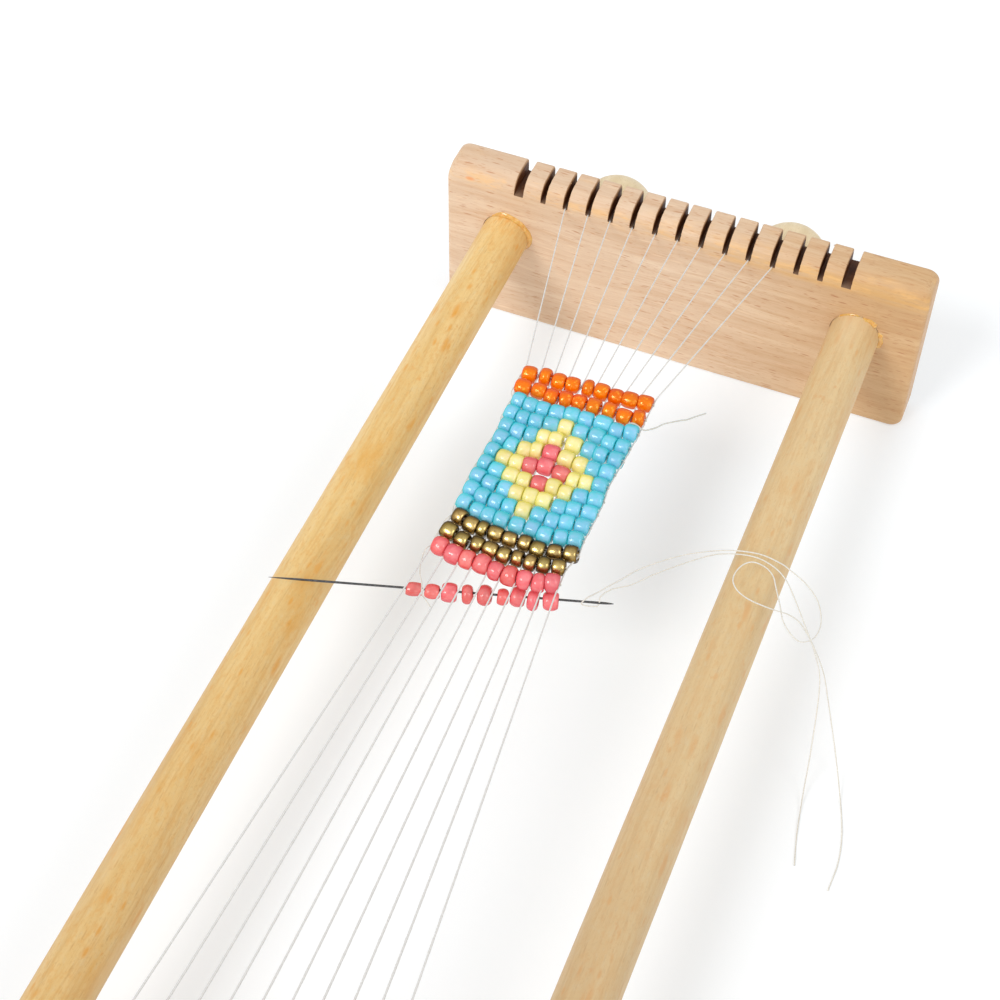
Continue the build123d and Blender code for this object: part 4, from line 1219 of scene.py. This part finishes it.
# ============================================================ needle
joints = {j["name"]: j for j in frame["joints"]}
NEEDLE_TIP = np.array([-47.82, -128.89, 36.7])
NEEDLE_END = np.array([20.64, -108.15, 36.7])
n_len = np.linalg.norm(NEEDLE_END - NEEDLE_TIP)
n_dir = (NEEDLE_END - NEEDLE_TIP) / n_len
prof = [(0.0, 0.0), (0.035, 0.08), (0.06, 0.35), (0.12, 1.6), (0.19, 3.6), (0.235, 6.0), (0.25, 9.0)]
prof += [(0.25, h) for h in np.linspace(14, n_len - 8, 10)]
prof += [(0.25, n_len - 6.0), (0.262, n_len - 4.6), (0.272, n_len - 3.0), (0.255, n_len - 1.7),
         (0.20, n_len - 0.9), (0.12, n_len - 0.3), (0.05, n_len - 0.05), (0.0, n_len)]
V, F = lathe(prof, 20, NEEDLE_TIP, n_dir)
needle = mesh_object("beading_needle", V, F)
outward_normals(needle)
side_v = np.cross(n_dir, [0, 0, 1.0])
cb = Build()
ring_pts, cz = [], 0.5
for k in range(24):
    a = 2 * math.pi * k / 24
    ex_ = 1.03 * math.copysign(1, math.cos(a)) + 0.12 * math.cos(a)
    ring_pts.append((ex_, 0.12 * math.sin(a)))
eye_c = NEEDLE_TIP + n_dir * (n_len - 3.0)
cv = [eye_c + n_dir * x + side_v * y + np.array([0, 0, z]) for z in (-cz, cz) for x, y in ring_pts]
cf = [tuple(range(24)), tuple(range(24, 48))] + [(k, (k + 1) % 24, 24 + (k + 1) % 24, 24 + k) for k in range(24)]
cb.add(cv, cf)
cutter = cb.object("cutter")
outward_normals(cutter)
mod = needle.modifiers.new("eye", "BOOLEAN")
mod.operation, mod.object, mod.solver = "DIFFERENCE", cutter, "EXACT"
apply_modifiers(needle)
bpy.data.objects.remove(cutter)
mark_sharp(needle, 40)
dress(needle, M["needle"])
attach(needle, "needle")
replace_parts(needle, "needle")

# ============================================================ loaded beads, laid from the table below, kept within the CAD node's height
# distance along the needle from its tip, length, radius, squareness, sideways hang; the row hangs a little below the needle's axis
LOADED = [
    (30.35, 3.30, 1.50, 2.15, 0.0), (34.16, 2.98, 1.62, 2.0, -0.25), (37.66, 3.22, 2.10, 2.0, -0.2),
    (41.42, 2.28, 2.10, 1.9, -0.3), (44.95, 2.82, 2.22, 1.9, -0.2), (48.66, 2.25, 1.80, 1.85, -0.25),
    (51.80, 3.02, 2.20, 1.95, 0.1), (54.95, 2.30, 2.25, 1.85, -0.5), (58.60, 3.20, 2.08, 2.1, -0.3),
]
l_lo, l_hi = mm_box("loaded_beads")
Rl = random.Random(31)
b = Build()
n_side = np.array([-n_dir[1], n_dir[0], 0.0])
for dist, length, radius, sq, off in LOADED:
    c = NEEDLE_TIP + n_dir * dist + n_side * off + np.array([0, 0, -0.26])
    V, F = bead_shape(c, n_dir, length, radius, Rl, square=sq, tilt=6.0, wedge=0.10, hole=0.7)
    k = min(1.0, (l_hi[2] + 0.12 - c[2]) / (V[:, 2].max() - c[2]), (c[2] - l_lo[2] + 0.12) / (c[2] - V[:, 2].min()))
    V[:, 2] = c[2] + (V[:, 2] - c[2]) * k
    b.add(V, F, rnd=Rl.random())
ob = b.object("loaded_glass_beads")
outward_normals(ob)
dress(ob, M["P"])
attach(ob, "loaded_row")
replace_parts(ob, "loaded_beads")

# ============================================================ working thread
# One thread doubled through the eye. Both ends leave to the right, over the right rail and down onto the table; it is
# built as one piece.
EYE = NEEDLE_TIP + n_dir * (n_len - 3.0)
STRAND_A = [
    (20.2, -102.1, 37.56), (22.75, -98.27, 37.6), (28.03, -93.31, 38.0), (32.8, -89.94, 38.2),
    (38.61, -86.95, 38.2), (44.45, -85.31, 37.9), (49.14, -85.52, 37.4), (51.56, -86.25, 37.1),
    (55.62, -88.1, 36.6), (58.81, -90.78, 36.2), (60.65, -94.12, 36.0), (61.36, -97.29, 35.9),
    (60.82, -100.55, 36.0), (58.79, -102.35, 36.2), (56.53, -101.55, 36.4), (53.94, -98.99, 36.6),
    (52.22, -95.49, 36.8), (50.22, -91.77, 37.0), (48.76, -89.18, 37.2), (46.55, -87.64, 37.3),
    (43.65, -87.42, 37.3), (41.7, -89.39, 37.0), (41.21, -92.51, 36.6), (42.81, -94.66, 36.1),
    (45.78, -95.67, 35.6), (49.53, -95.8, 35.1), (51.99, -95.65, 34.8), (54.41, -95.27, 34.2),
    (56.98, -95.47, 33.0), (59.84, -96.81, 30.6), (62.35, -97.63, 26.6), (64.46, -98.22, 22.0),
    (66.6, -99.47, 15.6), (70.92, -103.94, 5.2), (74.96, -111.94, 0.6), (77.64, -119.88, 0.3),
    (78.8, -127.0, 0.3), (78.6, -134.0, 0.3),
]
STRAND_B = [
    (21.9, -102.8, 37.04), (23.67, -100.77, 37.0), (25.98, -98.02, 37.2), (31.34, -92.58, 37.4),
    (36.0, -88.45, 37.3), (40.51, -86.35, 37.1), (44.5, -85.55, 36.8), (48.38, -86.4, 36.5),
    (51.44, -88.3, 36.1), (54.18, -91.51, 35.6), (56.77, -94.93, 35.0), (60.04, -98.72, 33.2),
    (61.83, -99.9, 30.4), (63.84, -101.14, 25.6), (65.06, -103.36, 19.0), (66.56, -109.24, 8.0),
    (67.47, -114.42, 1.4), (68.93, -123.46, 0.3), (70.6, -131.0, 0.3),
]
EYE_PART = [
    (18.3, -104.8, 37.55), (16.7, -107.2, 37.5), (15.2, -109.2, 37.35), (14.4, -110.4, 36.75),
    (14.7, -110.5, 36.25), (16.1, -110.1, 36.0), (17.5, -109.6, 36.1),
    (EYE[0], EYE[1], 36.55), (EYE[0], EYE[1], 36.95), (17.55, -108.1, 37.35),
    (18.1, -106.6, 37.3), (19.3, -104.9, 37.15),
]
full = STRAND_A[::-1] + EYE_PART + STRAND_B
P = smooth_path(full, 0.28)
V, F, al = thread_shape(P, 0.14, 1.2, 0.10, 8, seed=12)
b = Build()
b.add(V, F)
ob = b.object("working_thread_run")
outward_normals(ob)
dress(ob, M["weft"])
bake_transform(ob)
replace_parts(ob, "working_thread", "needle_thread")

# ============================================================ stage
bpy.ops.mesh.primitive_plane_add(size=8.0, location=(0, -0.13, 0))
floor = bpy.context.object
floor.name = "floor"
fm = Mat("floor_white", rough=0.8, spec=0.1)
white = fm.mix(fm.noise(fm.scaled(0.002, 0.002, 0.002), 1.0, 2.0, 0.5), (0.674, 0.692, 0.706, 1), (0.682, 0.700, 0.714, 1))
fx, fy, fz = fm.split(fm.p)
# the table under the far board is a shade cooler, which cancels the warm light off the wood
near_board = fm.math("MULTIPLY", fm.math("MULTIPLY", fm.step(fy, 35.0, 108.0), fm.step(fy, 134.0, 170.0, 1.0, 0.0)),
                     fm.step(fm.math("ABSOLUTE", fx), 40.0, 85.0, 1.0, 0.0))
fm.set(Base_Color=fm.mix(near_board, white, fm.mix(1.0, white, (0.972, 1.03, 1.085, 1), "MULTIPLY")))
# painted light: the floor glows a little brighter towards the far board, lifting the shade around it
fm.set(Emission_Color=(0.985, 1.0, 1.012, 1), Emission_Strength=fm.step(fy, 40.0, 125.0, 0.31, 0.35))
floor.data.materials.append(fm.mat)

world = bpy.data.worlds.new("studio")
scene.world = world
world.use_nodes = True
wn = world.node_tree
wn.nodes.clear()
wo = wn.nodes.new("ShaderNodeOutputWorld")
bg = wn.nodes.new("ShaderNodeBackground")
bg2 = wn.nodes.new("ShaderNodeBackground")
lp = wn.nodes.new("ShaderNodeLightPath")
mx = wn.nodes.new("ShaderNodeMixShader")
bg.inputs[0].default_value = (1.0, 1.0, 1.0, 1)
bg.inputs[1].default_value = 0.70
bg2.inputs[0].default_value = (1.0, 1.0, 1.0, 1)
bg2.inputs[1].default_value = 1.0
wn.links.new(lp.outputs["Is Camera Ray"], mx.inputs[0])
wn.links.new(bg.outputs[0], mx.inputs[1])
wn.links.new(bg2.outputs[0], mx.inputs[2])
wn.links.new(mx.outputs[0], wo.inputs[0])


def sun(name, to_light, strength, angle):
    d = bpy.data.lights.new(name, "SUN")
    d.energy, d.angle = strength, math.radians(angle)
    o = bpy.data.objects.new(name, d)
    scene.collection.objects.link(o)
    o.rotation_mode = "QUATERNION"
    o.rotation_quaternion = Vector(to_light).to_track_quat("Z", "Y")
    o.location = Vector(to_light).normalized() * 2
    return o


sun("key", (-21, -40, 41), 1.35, 22)
sun("fill", (0.75, -0.3, 0.85), 0.55, 26)

cam_data = bpy.data.cameras.new("camera")
cam_data.lens, cam_data.sensor_width = 71.46, 36.0
cam = bpy.data.objects.new("camera", cam_data)
scene.collection.objects.link(cam)
fwd = Vector((-0.2287, 0.5924, -0.7725)).normalized()
right = Vector((0.9329, 0.3602, 0.0)).normalized()
up = right.cross(fwd)
roll = math.radians(1.04)
r2 = math.cos(roll) * right + math.sin(roll) * up
u2 = -math.sin(roll) * right + math.cos(roll) * up
mat = Matrix((r2, u2, -fwd)).transposed().to_4x4()
mat.translation = Vector((0.08567, -0.34248, 0.36399))
cam.matrix_world = mat
cam_data.clip_start, cam_data.clip_end = 0.01, 50
scene.camera = cam
scene.view_settings.view_transform = "Standard"
scene.view_settings.look = "None"
